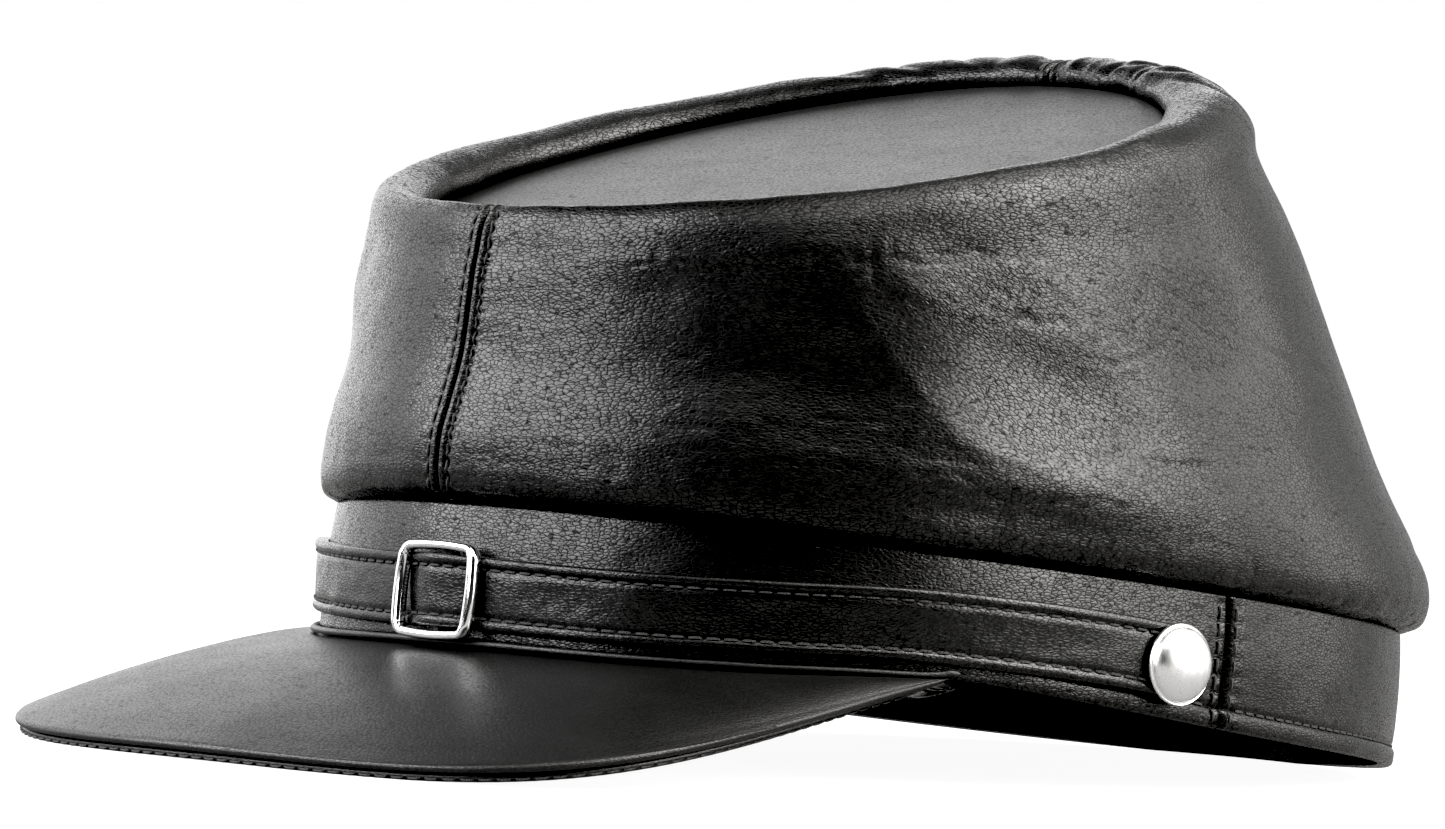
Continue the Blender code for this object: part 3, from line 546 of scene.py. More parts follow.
def ring_points(values, angle):
    """Points of ovals; values has the six sizes in its last axis, angle their places."""
    turn = np.radians(angle)
    half_width, front_y, back_y, front_z, back_z, sag = np.moveaxis(values, -1, 0)
    return stack(
        half_width * np.sin(turn),
        (front_y + back_y) / 2 - (back_y - front_y) / 2 * np.cos(turn),
        (front_z + back_z) / 2 - (back_z - front_z) / 2 * np.cos(turn) - sag * np.sin(turn) ** 2,
    )


CONTROLS = crown_controls()
ROUND = np.arange(0, 360, 10.0)
CHORDS = np.linalg.norm(np.diff(ring_points(CONTROLS[:, None], ROUND), axis=0), axis=2).mean(1)
UP = running(CHORDS)            # way up the leather to each control oval


def crown_values(up):
    """Sizes of the oval at a way up the leather, on a smooth curve through the controls."""
    rises = np.diff(CONTROLS, axis=0) / CHORDS[:, None]
    weights = CHORDS[1:, None] / (CHORDS[1:] + CHORDS[:-1])[:, None]
    between = rises[:-1] * weights + rises[1:] * (1 - weights)
    slopes = np.concatenate([rises[:1], between, rises[-1:]])
    i = np.clip(np.searchsorted(UP, up, side="right") - 1, 0, len(CHORDS) - 1)
    return hermite(CONTROLS, slopes, i, ((up - UP[i]) / CHORDS[i])[:, None], CHORDS[i][:, None])


def height_share(up):
    """Height as the tables of creases give it: 1 at the high ring, more on the roll."""
    return np.interp(up, UP, np.arange(len(UP))) / HIGH


def crown_path(side, line):
    """A line of angles and heights as places on the plain crown surface."""
    angle, height = np.array(line).T
    return ring_points(crown_values(np.interp(height * HIGH, np.arange(len(UP)), UP)), side * angle)


def crown_columns(side):
    """Angles of the columns of one half, and their distances from its front and back seam."""
    angles = np.linspace(side * FRONT_SEAM, BACK_SEAM, 721)
    distances = running(mm_per_degree((angles[1:] + angles[:-1]) / 2) * np.diff(angles))
    total = distances[-1]
    runs = sum(run.length for run in COLUMN_RUNS)
    marks = [0.0]
    for run in COLUMN_RUNS:
        marks += list(marks[-1] + spaced(run.length * total / runs, run.step)[1:])
    away = GAP / 2 + np.array(marks) * (total - GAP) / marks[-1]
    return np.interp(away, distances, angles), away, total - away


def dent_depth(angle, height, side):
    depth = np.zeros(np.broadcast(angle, height).shape)
    for dent in DENTS:
        across = (angle - dent.angle - dent.slant * (height - dent.height)) / dent.wide
        along = (height - dent.height) / dent.tall
        depth += dent.depth / (1 + across ** 2 + along ** 2) ** 2
    foot_fade = 1 - (1 - 2 * np.minimum(height, 0.5)) ** DENT_FADE
    fade = foot_fade * (1 - smooth_step((height - 0.86) / 0.34))
    return depth * fade * DENT_SOFT * (1.0 if side > 0 else FAR_SIDE_SHARE)


def gather(angle, side):
    """How deep the crest is drawn in at the back, only next to the seam on the far side."""
    share = np.clip((angle - GATHER_START) / (BACK_SEAM - SEAM_FLAT - GATHER_START), 0, 1)
    rise = np.sin(pi / 2 * np.minimum(1.0, 2 * share))
    if side < 0:
        rise = rise * smooth_step((angle - FAR_GATHER_START) / 8)
    return np.where(share > 0, rise * (1 + np.cos(2 * pi * GATHERS * share)) / 2, 0.0)


def press_crease(relief, points, path, depth, wide):
    """Press one crease into the relief: a valley with low shoulders that fades at both ends."""
    reach = 3 * wide + 1
    near = np.all((points > path.min(0) - reach) & (points < path.max(0) + reach), axis=-1)
    spots = points[near]
    if not len(spots):
        return
    best, place = np.full(len(spots), np.inf), np.zeros(len(spots))
    lengths = np.linalg.norm(np.diff(path, axis=0), axis=1)
    starts = running(lengths)
    for i, length in enumerate(lengths):
        run = (path[i + 1] - path[i]) / max(length, 1e-6)
        share = np.clip((spots - path[i]) @ run, 0, length)
        away = np.linalg.norm(spots - path[i] - share[:, None] * run, axis=1)
        closer = away < best
        best[closer] = away[closer]
        place[closer] = (starts[i] + share)[closer]
    fade = np.clip(np.sin(pi * place / starts[-1]), 0, 1) ** 0.7
    q = (best / wide) ** 2
    relief[near] += -depth * fade * (1 - q) * np.exp(-q)


def press_creases(relief, points, side):
    """All creases of one half; on the far half they are less deep, and the short ones differ."""
    strength = 1.0 if side > 0 else FAR_SIDE_SHARE
    u = np.linspace(0, 1, 9)[:, None]
    for crease in CREASES:
        start, middle, end = np.reshape(crease[1:7], (3, 2))
        line = start * (1 - u) * (1 - 2 * u) + middle * 4 * u * (1 - u) + end * u * (2 * u - 1)
        press_crease(relief, points, crown_path(side, line), crease.depth * strength, crease.wide)
    rng = np.random.default_rng(7 if side > 0 else 8)
    for patch in PATCHES:
        for _ in range(patch.count):
            angle = patch.angle + patch.wide * rng.normal()
            height = float(np.clip(patch.height + patch.tall * rng.normal(), 0.1, 1.05))
            half = patch.length / 2 * rng.uniform(0.5, 1.3) / mm_per_degree(angle)
            slope = patch.slope + rng.normal() * 0.006
            bend = rng.normal() * 0.008
            deep, wide = patch.depth * rng.uniform(0.4, 1.3), rng.uniform(0.6, 0.9)
            line = [(angle + half * t, height + slope * half * t + bend * (1 - t * t))
                    for t in (-1, -0.4, 0.4, 1)]
            press_crease(relief, points, crown_path(side, line), deep * strength, wide)


def slant_share(angle, height):
    """Where the finest creases of the leather run down towards the back."""
    share = np.zeros(np.broadcast(angle, height).shape)
    for patch in PATCHES:
        if patch.slope < SLANT_FROM:
            near = bell((angle - patch.angle) / patch.wide, 1.5)
            share = np.maximum(share, near * bell((height - patch.height) / patch.tall, 1.5))
    return share


def seam_relief(away, along, strong):
    """Sewn seam seen from one side: the edge turned in, a raised strip, and a row of stitches.

    A strong seam is drawn in deeply between its stitches."""
    pull = stitch_pull(along)
    row = SEAM_STITCHES + (0.22 * pull if strong else 0.0)
    groove = (0.45 if strong else 0.22) + (0.35 if strong else 0.12) * pull
    wide = 0.40 + 0.28 * pull if strong else 0.32
    drawn = 0.12 * pull * np.exp(-np.clip(away - row, 0, None) / 2.0) * (away > row)
    edge, strip = -0.9 * bell(away, 0.38), 0.12 * bell(away - 1.1, 0.45)
    return edge + strip - groove * bell(away - row, wide) - drawn


def crown_relief(angle, up, across, side):
    """How far one half stands off its plain surface, without its creases and seams."""
    height = height_share(up)
    relief = layered(across, up, CROWN_LAYERS)
    # puckers where the leather is drawn in over the band
    relief += 0.28 * np.exp(-up / 5.5) * value_noise(across / 2.6, up / 14, 4)
    # puckers of the roll: fine all round, strong round the back and at the front bend
    inner = smooth_step((height - CREST / HIGH + 0.16) / 0.3)
    back = smooth_step((angle - (PUCKERS_START if side > 0 else FAR_PUCKERS_START)) / 8)
    bend = bell(angle - 34, 12) * (0.2 if side > 0 else 0.5)
    folds = value_noise(across / 4.2 + 0.5 * value_noise(across / 9, up / 6, 5), up / 16, 6)
    fine = value_noise(across / 1.9, up / 9, 7)
    relief += inner * (0.05 + 0.45 * back + 0.25 * bend) * folds
    relief += inner * (0.02 + 0.16 * back + 0.08 * bend) * fine
    relief += 0.20 * smooth_step((height - 0.95) / 0.2) * value_noise(across / 14, up / 9, 8)
    ridge = angle - SIDE_RIDGE_ANGLE - SIDE_RIDGE_LEAN * (SIDE_RIDGE_HEIGHT - height)
    relief += SIDE_RIDGE * bell(ridge, SIDE_RIDGE_WIDE) * bell(height - SIDE_RIDGE_HEIGHT, 0.40)
    fill = smooth_step((height - 0.25) / 0.5) * (1 - smooth_step((height - 0.88) / 0.24))
    relief += SIDE_FILL * fill * bell(angle - 74, 22)
    if side < 0:
        relief -= SHOULDER_DROP * bell(angle - 45, 26) * bell(height - 1.12, 0.17)
    return relief


def crown_half(name, side, look):
    """One half of the crown, and the rows of stitches along its two seams."""
    plain, away_front, away_back = crown_columns(side)
    wall_top, roll_top = UP[HIGH], UP[-1]
    up = np.concatenate([spaced(wall_top, WALL_STEP)[:-1],
                         wall_top + spaced(roll_top - wall_top, ROLL_STEP)])[:, None]
    values = crown_values(up[:, 0])
    # next to a seam the columns keep their distance from it all the way up
    scale = values[:, :1] * pi / 180
    front_fix = (away_front / scale - (plain - side * FRONT_SEAM)) * bell(away_front, SEAM_REACH)
    back_fix = (away_back / scale - (BACK_SEAM - plain)) * bell(away_back, SEAM_REACH)
    angle = plain + front_fix - back_fix
    height = height_share(up)
    base = ring_points(values[:, None], side * angle)
    base -= oval_normal(side * angle) * dent_depth(angle, height, side)[..., None]
    crest = np.clip(1 - np.abs(up - UP[CREST]) / GATHER_REACH, 0, 1)
    base[..., 2] -= GATHER_DEPTH * gather(angle, side) * crest
    normals = grid_normals(base) * side

    relief = crown_relief(angle, up, away_front, side)
    press_creases(relief, base, side)
    hold = np.minimum(smooth_step(away_front / SEAM_HOLD), smooth_step(away_back / SEAM_HOLD))
    relief *= 0.35 + 0.65 * hold
    relief += seam_relief(away_front, up, side > 0) + seam_relief(away_back, up, side > 0)
    relief = np.clip(relief, RELIEF_LOW - SHOULDER_DROP * (side < 0), RELIEF_HIGH)
    outer = base + normals * relief[..., None]
    thick = CROWN_THICK * (1 - 0.35 * bell(np.minimum(away_front, away_back), 0.8))
    inner = base - normals * thick[:, None]
    inner[0] -= oval_normal(side * angle[0]) * CROWN_TUCK_IN
    inner[0, :, 2] -= CROWN_TUCK
    if side > 0:    # turned in behind the other half, as the sewn seam is
        inner[:, 0] += SEAM_TURN_IN * unit(base[:, 0] - base[:, 1])
        inner[:, -1] += SEAM_TURN_IN * unit(base[:, -1] - base[:, -2])
    points, faces = shell(outer, inner)
    slant = np.zeros(len(points))
    slant[:relief.size] = slant_share(angle, height).ravel()
    add_piece(name, points, faces, look, "leather", (name,), {"slant": slant})
    # the stitches begin just over the band and end under the roll
    columns = [int(np.argmin(np.abs(away - SEAM_STITCHES))) for away in (away_front, away_back)]
    return [stitch_row(outer[2:-8, i], normals[2:-8, i], 0.8) for i in columns]


def crown_top(look):
    """Sunk oval top with a slightly uneven surface, and its rim turned down under the roll."""
    slope = (TOP_BACK_Z - TOP_FRONT_Z) / (TOP_BACK_Y - TOP_FRONT_Y)
    half_width = CREST_HALF_WIDTH - TOP_EDGE

    def oval_values(inside, sink, sag):
        """Sizes of the oval that lies so far inside the top's edge."""
        rise, sunk = inside * slope, sink * TOP_SINK
        return np.array([half_width - inside, TOP_FRONT_Y + inside, TOP_BACK_Y - inside,
                         TOP_FRONT_Z + rise - sunk, TOP_BACK_Z - rise - sunk, sag * CREST_SIDE_SAG])

    rim = np.array(crest_values(TOP_RIM, TOP_RIM, TOP_RIM, TOP_RIM_DROP, TOP_RIM_DROP))
    edge, lift = oval_values(0, 0, 1), np.array([0, 0, 0, 0.5, 0.5, 0])
    values = [rim * (1 - u) + edge * u + lift * sin(pi * u) for u in (0, 0.25, 0.5, 0.75)]
    flat_from = TOP_ROWS[-1][0]
    for inside in spaced(flat_from, 1.0):
        values.append(oval_values(inside, *(curve_through(TOP_ROWS, inside, i) for i in (1, 2))))
    core, flat = oval_values(flat_from, 1, 0), half_width - flat_from
    middle = np.repeat([0, core[1:3].mean(), core[3:5].mean(), 0], (1, 2, 2, 1))
    values += [middle + (core - middle) * (1 - inside / flat)
               for inside in spaced(flat - 1.5, 1.4)[1:]]
    face = ring_points(np.array(values)[:, None], np.arange(0, 360, 2.0))
    normals = -grid_normals(np.concatenate([face[:, -2:], face, face[:, :2]], axis=1))[:, 2:-2]
    x, y = face[..., 0], face[..., 1]
    relief = layered(x, y, TOP_LAYERS) * smooth_step(np.arange(len(values))[:, None] / 10)
    share_y = (y - (TOP_BACK_Y + TOP_FRONT_Y) / 2) / ((TOP_BACK_Y - TOP_FRONT_Y) / 2)
    relief -= TOP_SAG * np.clip(1 - (x / half_width) ** 2 - share_y ** 2, 0, 1)
    upper, lower = face + normals * relief[..., None], face - normals * TOP_THICK
    sections = np.concatenate([upper[::-1], lower])
    add_piece("crown_top", *loft(sections), look, "leather", ("crown_top",))


# ---------------- band

def hem_out(angle):
    around = 180 - np.abs(180 - np.asarray(angle) % 360)
    return HEM_OUT * np.clip((around - HEM_START) / (HEM_FULL - HEM_START), 0, 1)


def edge_round(depth, radius):
    """How far a rounded edge lies back, so far from the edge."""
    inside = np.clip(radius - depth, 0, radius)
    return radius - np.sqrt(radius ** 2 - inside ** 2)


def band_face(angle, z, foot):
    """How far the band's outer face stands out from its oval at a height."""
    middle = (foot + BAND_TOP) / 2
    low = np.clip((z - foot) / (middle - foot), 0, 1)
    high = np.clip((z - middle) / (BAND_TOP - middle), 0, 1)
    belly = BAND_BELLY * np.sin(pi / 2 * low) - (BAND_BELLY + BAND_LEAN) * high ** 1.6
    hem = hem_out(angle)
    rolled = np.clip((z - foot) / HEM_HIGH, 0, 1)
    roll = hem * (0.35 + 0.65 * np.sqrt(np.clip(np.sin(pi * rolled), 0, 1))) * (rolled < 1)
    fold = -0.35 * bell(z - foot - HEM_HIGH - 0.25, 0.5) * hem / HEM_OUT
    return belly * (1 - bell(z - foot, 3.0)) + roll + fold


def band_length(name, start, end, look):
    """One length of the band, from side seam to side seam."""
    clear = GAP / 2 / mm_per_degree(SIDE_SEAM)
    angles = np.linspace(start + clear, end - clear, int((end - start) * 1.7))
    foot = foot_height(angles)
    low = np.concatenate([[0.0, 0.03, 0.1, 0.22, 0.4, 0.65, 0.95], np.linspace(1.3, 5.2, 12)])
    top = np.tile(BAND_TOP - np.array([0.55, 0.3, 0.12, 0.0]), (len(angles), 1))
    middle = np.linspace(foot + low[-1], BAND_TOP - 0.8, 26, axis=1)[:, 1:]
    inner_z = np.linspace(BAND_TOP - 0.3, foot + 0.3, 8, axis=1)
    away = mm_per_degree(SIDE_SEAM) * np.minimum(angles - start, end - angles)[:, None]
    angle, foot = angles[:, None], foot[:, None]
    z = np.hstack([foot + low, middle, top])
    face = band_face(angle, z, foot) - edge_round(z - foot, 0.7) - edge_round(BAND_TOP - z, 0.5)
    face += layered(angle * 1.7, z, BAND_LAYERS) + seam_relief(away, z, True) * 0.75
    inner = -BAND_THICK - np.clip((inner_z - 12) / 13, 0, 1) * BAND_LEAN
    turn_in = np.zeros_like(inner)
    if name == "band_rear":     # its ends are turned in behind the front length
        turn_in[[0, -1]] = np.array([[-1], [1]]) * SEAM_TURN_IN / mm_per_degree(SIDE_SEAM)
        inner[[0, -1]] += 0.3
    place = angle + np.hstack([np.zeros_like(z), turn_in])
    x, y = oval(place, np.hstack([face, inner]))
    sections = stack(x, y, np.hstack([z, inner_z]))
    add_piece(name, *loft(sections), look, "leather", (name,))


def band_spots(angle, z):
    """Places on the band's face and their outward directions."""
    return stack(*oval(angle, band_face(angle, z, foot_height(angle))), z), oval_normal(angle)


def hem_stitches(start, end):
    angles = np.linspace(start, end, int(abs(end - start)) * 2)
    return stitch_row(*band_spots(angles, foot_height(angles) + HEM_HIGH + 0.25))


def side_seam_stitches(angle, offset):
    z = np.linspace(float(band_foot(angle)) + 0.6, BAND_TOP - 0.5, 30)
    points, normals = band_spots(np.full_like(z, angle + offset / mm_per_degree(angle)), z)
    return stitch_row(points - normals * 0.3, normals, 0.2)


# ---------------- peak and welt

def peak_outline(share):
    """Outer edge of the peak: share -1 at the right corner, 0 at the tip, 1 at the left one."""
    x, y = oval(PEAK_CORNER, 1.0)
    corner = np.array([x, y, float(band_foot(PEAK_CORNER))])
    side = np.array([x + PEAK_SIDE_FLARE, y - PEAK_SIDE_REACH, PEAK_SIDE_Z])
    front = np.array([PEAK_FRONT_REACH, PEAK_TIP_Y, PEAK_FRONT_Z])
    tip = np.array([0, PEAK_TIP_Y, PEAK_TIP_Z])

    def bezier(u):
        u = u[..., None]
        ends = tip * (1 - u) ** 3 + corner * u ** 3
        return ends + front * 3 * u * (1 - u) ** 2 + side * 3 * u ** 2 * (1 - u)

    share = np.asarray(share, float)
    point = bezier(np.abs(share))
    point[..., 0] *= np.where(share < 0, -1, 1)
    point[..., 2] = bezier(np.sqrt(PEAK_EASE ** 2 + (1 - PEAK_EASE ** 2) * share ** 2))[..., 2]
    return point


def peak_point(share, out, inset=0.0):
    """Places on the peak's upper face, from out 0 under the band to out 1 at its edge."""
    share, out = np.broadcast_arrays(np.asarray(share, float), np.asarray(out, float))
    angle = PEAK_CORNER * share
    inner = stack(*oval(angle, -PEAK_TUCK), band_foot(angle) - PEAK_CLEAR)
    edge = peak_outline(share)
    width = np.linalg.norm(edge - inner, axis=-1)
    out = out * (1 - inset / width)
    free = np.maximum(0.0, (out * width - PEAK_TUCK) / (width - PEAK_TUCK))
    arch = PEAK_ARCH * (1 - np.exp(-width / PEAK_ARCH_WIDTH)) * 4 * free * (1 - free)
    point = inner + (edge - inner) * out[..., None]
    point[..., 2] += arch
    return point


def peak_normal(share, out):
    step = 0.01
    low, high = np.maximum(-1.0, share - step), np.minimum(1.0, share + step)
    near, far = np.maximum(0.0, out - step), np.minimum(1.0, out + step)
    along = peak_point(high, out) - peak_point(low, out)
    across = peak_point(share, far) - peak_point(share, near)
    return unit(np.cross(across, along))


def peak_shares():
    """Shares along the peak at even distances along its edge, and those distances."""
    fine = np.linspace(-1, 1, 801)
    along = way_along(peak_outline(fine))
    even = np.linspace(0, along[-1], 300)
    return np.interp(even, along, fine), even


def peak_layer(name, under, look, slot):
    """One leather of the peak, with a rounded outer edge; under is 1 for the lower one, or 0."""
    drop, radius = under * (PEAK_LAYER + GAP), PEAK_LAYER / 2
    shares, along = peak_shares()
    outs = 1 - (1 - np.linspace(0, 1, 46)) ** 1.15
    share, out = np.meshgrid(shares, outs, indexing="ij")
    face = peak_point(share, out, under * UNDERLAY_INSET + radius)
    up = peak_normal(share, out)
    if under:
        relief = np.zeros_like(out)
        thin = np.clip((1 - np.abs(shares)) / UNDERLAY_ENDS, UNDERLAY_LEAST, 1)[:, None]
    else:
        relief = layered(face[..., 0], face[..., 1], PEAK_LAYERS) * smooth_step(out / 0.2)
        relief -= 0.05 * bell((1 - out) * 50 - 3.4, 1.2)
        thin = np.ones((len(shares), 1))
    top = face + up * (relief - drop)[..., None]
    outward, edge_up = unit(face[:, -1] - face[:, -2]), up[:, -1]
    centre = face[:, -1] - edge_up * (drop + radius * thin)
    scallop = 1 - under * UNDERLAY_SCALLOP * stitch_pull(along)[:, None]
    rim = [centre + radius * (outward * sin(turn) * (scallop if turn > pi / 2 else 1.0)
                              + edge_up * cos(turn) * thin)
           for turn in np.radians([22.5, 45, 67.5, 90, 112.5, 135, 157.5])]
    bottom = (face - up * (drop + PEAK_LAYER * thin[..., None]))[:, ::-3]
    sections = np.concatenate([top, np.stack(rim, axis=1), bottom], axis=1)
    if under:
        sections[..., 2] = np.maximum(sections[..., 2], floor_height(sections[..., 1]))
    add_piece(name, *loft(sections), look, slot, (name,))


def peak_stitches():
    """Stitches along the lower edge of the peak's rim."""
    shares = peak_shares()[0]
    shares = shares[np.abs(shares) < 0.95]
    face = peak_point(shares, 1.0, UNDERLAY_INSET)
    up = peak_normal(shares, 1.0)
    outward = unit(face - peak_point(shares, 0.97, UNDERLAY_INSET))
    normal = unit(outward - up * 0.35)
    centre = face - outward * 0.7 - up * (PEAK_LAYER + GAP + 0.45)
    return stitch_row(centre + normal * 0.62, normal, 0.4, 0.02)


def welt(look):
    """Thin rolled edge in the corner between band and peak."""
    angles = np.linspace(-WELT_END, WELT_END, 320)
    share = np.clip(angles / PEAK_CORNER, -1, 1)
    width = np.linalg.norm(peak_outline(share) - peak_point(share, 0.0), axis=-1)
    top = peak_point(share, (PEAK_TUCK + WELT_RADIUS) / np.maximum(width, 2 * PEAK_TUCK))[..., 2]
    radius = WELT_RADIUS * (1 + 0.06 * value_noise(angles / 2.3, angles * 0, 41))
    radius = radius * np.sqrt(np.clip(1 - (np.abs(angles) / (WELT_END + 0.05)) ** 260, 0.02, 1))
    middle = stack(*oval(angles, WELT_STAND + WELT_RADIUS), top + GAP + WELT_RADIUS)
    sections = tube(middle, oval_normal(angles), RISE, radius, 12)
    add_piece("welt", *loft(sections), look, "edge_leather", ("welt",))


# ---------------- chin strap

def strap_middle(angle):
    return curve_through(STRAP_RUN, angle)


def strap_hump(angle):
    reach = np.abs(angle) * mm_per_degree(0) / STRAP_HUMP_REACH
    return STRAP_HUMP * (1 - np.minimum(reach, 1) ** 2)


def strap_half_height(angle):
    past = np.maximum((np.abs(angle) - BUTTON_ANGLE) * mm_per_degree(BUTTON_ANGLE), 0)
    return np.sqrt(np.maximum(STRAP_HALF_HEIGHT ** 2 - past ** 2, 0.6 ** 2))


def strap_front(angle, across, half):
    """How far the strap's front stands off the band's oval, across from its middle."""
    from_edge = half - np.abs(across)
    border = smooth_step((2.2 - from_edge) / 0.8)
    groove = bell(from_edge - STRAP_STITCHES, 0.42)
    flat = GAP + strap_hump(angle) + STRAP_THICK
    flat = flat + STRAP_TILT * across * smooth_step((BUTTON_ANGLE - 6 - np.abs(angle)) / 10)
    edge = edge_round(from_edge, np.minimum(0.8, half * 0.9))
    return flat - 0.32 * (1 - border) - 0.28 * groove - edge


def chin_strap(look):
    end = STRAP_HALF_HEIGHT / mm_per_degree(BUTTON_ANGLE)
    along = np.concatenate([np.linspace(0, BUTTON_ANGLE, 176),
                            BUTTON_ANGLE + end * np.sin(np.linspace(0, pi / 2 * 0.985, 22))[1:]])
    angle = np.concatenate([-along[:0:-1], along])[:, None]
    from_edge = [0.0, 0.02, 0.06, 0.12, 0.2, 0.3, 0.45, 0.65, 0.9, 1.2, 1.5, 1.75, 2.0, 2.25, 2.6,
                 3.2]
    share = np.append(from_edge, np.linspace(3.8, STRAP_HALF_HEIGHT, 5)) / STRAP_HALF_HEIGHT
    half = strap_half_height(angle)
    across = np.concatenate([share - 1, (1 - share)[-2::-1]]) * half
    front = strap_front(angle, across, half) + layered(angle * 1.5, across, STRAP_LAYERS)
    edge = (half - 0.25 * np.minimum(1, half))[:, 0]
    back_across = np.linspace(edge, -edge, 6, axis=1)
    back = np.tile(GAP + strap_hump(angle), 6)
    x, y = oval(angle, np.hstack([front, back]))
    sections = stack(x, y, strap_middle(angle) + np.hstack([across, back_across]))
    add_piece("chin_strap", *loft(sections), look, "leather", ("chin_strap",))


def strap_stitches():
    angles = np.linspace(-BUTTON_ANGLE, BUTTON_ANGLE, 420)
    rows = []
    for across in (STRAP_STITCHES - STRAP_HALF_HEIGHT, STRAP_HALF_HEIGHT - STRAP_STITCHES):
        front = strap_front(angles, across, STRAP_HALF_HEIGHT)
        path = stack(*oval(angles, front), strap_middle(angles) + across)
        rows.append(stitch_row(path, oval_normal(angles), 0.5))
    return rows


# ---------------- buckle and buttons

def strap_buckle(look, pin_look):
    """Slide with softly bowed sides and a rounded section, and the bar under the strap."""
    middle_z = float(strap_middle(0.0))
    half = np.array([BUCKLE_WIDE, BUCKLE_TALL]) / 2
    inset = BUCKLE_BAR / 2
    corner = BUCKLE_CORNER - inset
    path, outward = [], []
    for quarter, signs in enumerate(np.array([(1, 1), (-1, 1), (-1, -1), (1, -1)])):
        bend = signs * (half - inset - corner)
        for turn in np.radians(np.linspace(0, 90, 11) + 90 * quarter):
            outward.append(np.array([cos(turn), sin(turn)]))
            path.append(bend + corner * outward[-1])
        run, facing = quarter % 2, 1 - quarter % 2      # a level side, then an upright one
        for u in np.linspace(0, 1, (16, 14)[run])[1:-1]:
            outward.append(signs * np.eye(2)[facing])
            path.append(signs * (half - inset))
            path[-1][run] = bend[run] * (1 - 2 * u)
    path, outward = np.array(path), np.array(outward)
    level, upright = (path / half).T
    share = np.where(np.abs(outward[:, 0]) > 0.9, upright, level)
    bow = BUCKLE_BOW * (np.cos(pi / 2 * np.clip(share, -1, 1)) - BUCKLE_BOW_IN)
    path += outward * bow[:, None]
    turns = 2 * pi * np.arange(20) / 20
    wide, deep = (np.sign(wave) * np.abs(wave) ** BUCKLE_SQUARE / 2
                  for wave in (np.cos(turns), np.sin(turns)))
    broad = BUCKLE_LEVEL_BAR + (BUCKLE_UPRIGHT_BAR - BUCKLE_LEVEL_BAR) * outward[:, :1] ** 2
    cross = wide * broad - (broad - BUCKLE_BAR) / 2
    front = -(BAND_HALF_LENGTH + BUCKLE_STAND + BUCKLE_DEEP / 2)
    x, z = (path[:, [i]] + outward[:, [i]] * cross for i in (0, 1))
    slide = loft(stack(x, front + deep * BUCKLE_DEEP, middle_z + z), ring=True)
    pin_z = middle_z + np.linspace(-BUCKLE_PIN_LENGTH / 2, BUCKLE_PIN_LENGTH / 2, 9)
    centres = stack(0, -(BAND_HALF_LENGTH + BUCKLE_PIN_STAND), pin_z)
    pin = loft(tube(centres, np.eye(3)[0], np.eye(3)[1], BUCKLE_PIN_RADIUS, 20))
    piece = add_piece("strap_buckle", *joined([slide, pin]), look, "chrome", ("strap_buckle",))
    piece.data.materials.append(pin_look)
    for polygon in piece.data.polygons[len(slide[1]):]:
        polygon.material_index = 1


def button(name, side, look):
    """Domed button with a fine rim, on its shank."""
    base = GAP + STRAP_THICK + GAP
    high = BUTTON_HIGH - BUTTON_RIM
    dome = [((BUTTON_RADIUS - 0.45) * sin(turn), BUTTON_RIM + high * cos(turn))
            for turn in np.radians(np.linspace(0, 84, 22))[1:]]
    rim = [(BUTTON_RADIUS - inside, out) for inside, out in (
        (0.30, 0.62), (0.12, 0.72), (0.0, 0.55), (0.0, 0.25), (0.15, 0.05), (0.35, 0.0))]
    shank = [(SHANK_RADIUS, 0.0), (SHANK_RADIUS, -base - BAND_THICK)]
    profile = np.array(dome + rim + shank)
    normal = oval_normal(side * BUTTON_ANGLE)
    centres = stack(*oval(side * BUTTON_ANGLE), BUTTON_Z) + normal * (base + profile[:, 1:])
    sections = tube(centres, np.cross(RISE, normal), RISE, profile[:, 0], 72)
    add_piece(name, *loft(sections), look, "chrome", (name,), sharp=70)


# ---------------- materials

SLANT_TURN = 30.0               # degrees by which slanting creases fall towards the back
PEBBLE = (0.65, 0.65, 1.35)     # scale of the pebbles and of the lines along each axis
LINE = (0.35, 0.35, 1.3)
WOBBLE = 0.22                   # millimetres by which the furrows between pebbles wander
BUMP_HIGH = 0.12                # height in millimetres of the grain, and of the thread's twist
TWIST_HIGH = 0.08

# Scales of the finest structures, for each metre.
WOBBLE_SCALE = 900.0
LINE_SCALE = 640.0
PEBBLE_SHADE_SCALE = 700.0      # over the size of a pebble
PATCH_SCALE = 38.0
POLISH_SCALE = 95.0
TWIST_SCALE = 900.0
SCUFF_SCALE = 900.0
TARNISH_SCALE = 120.0


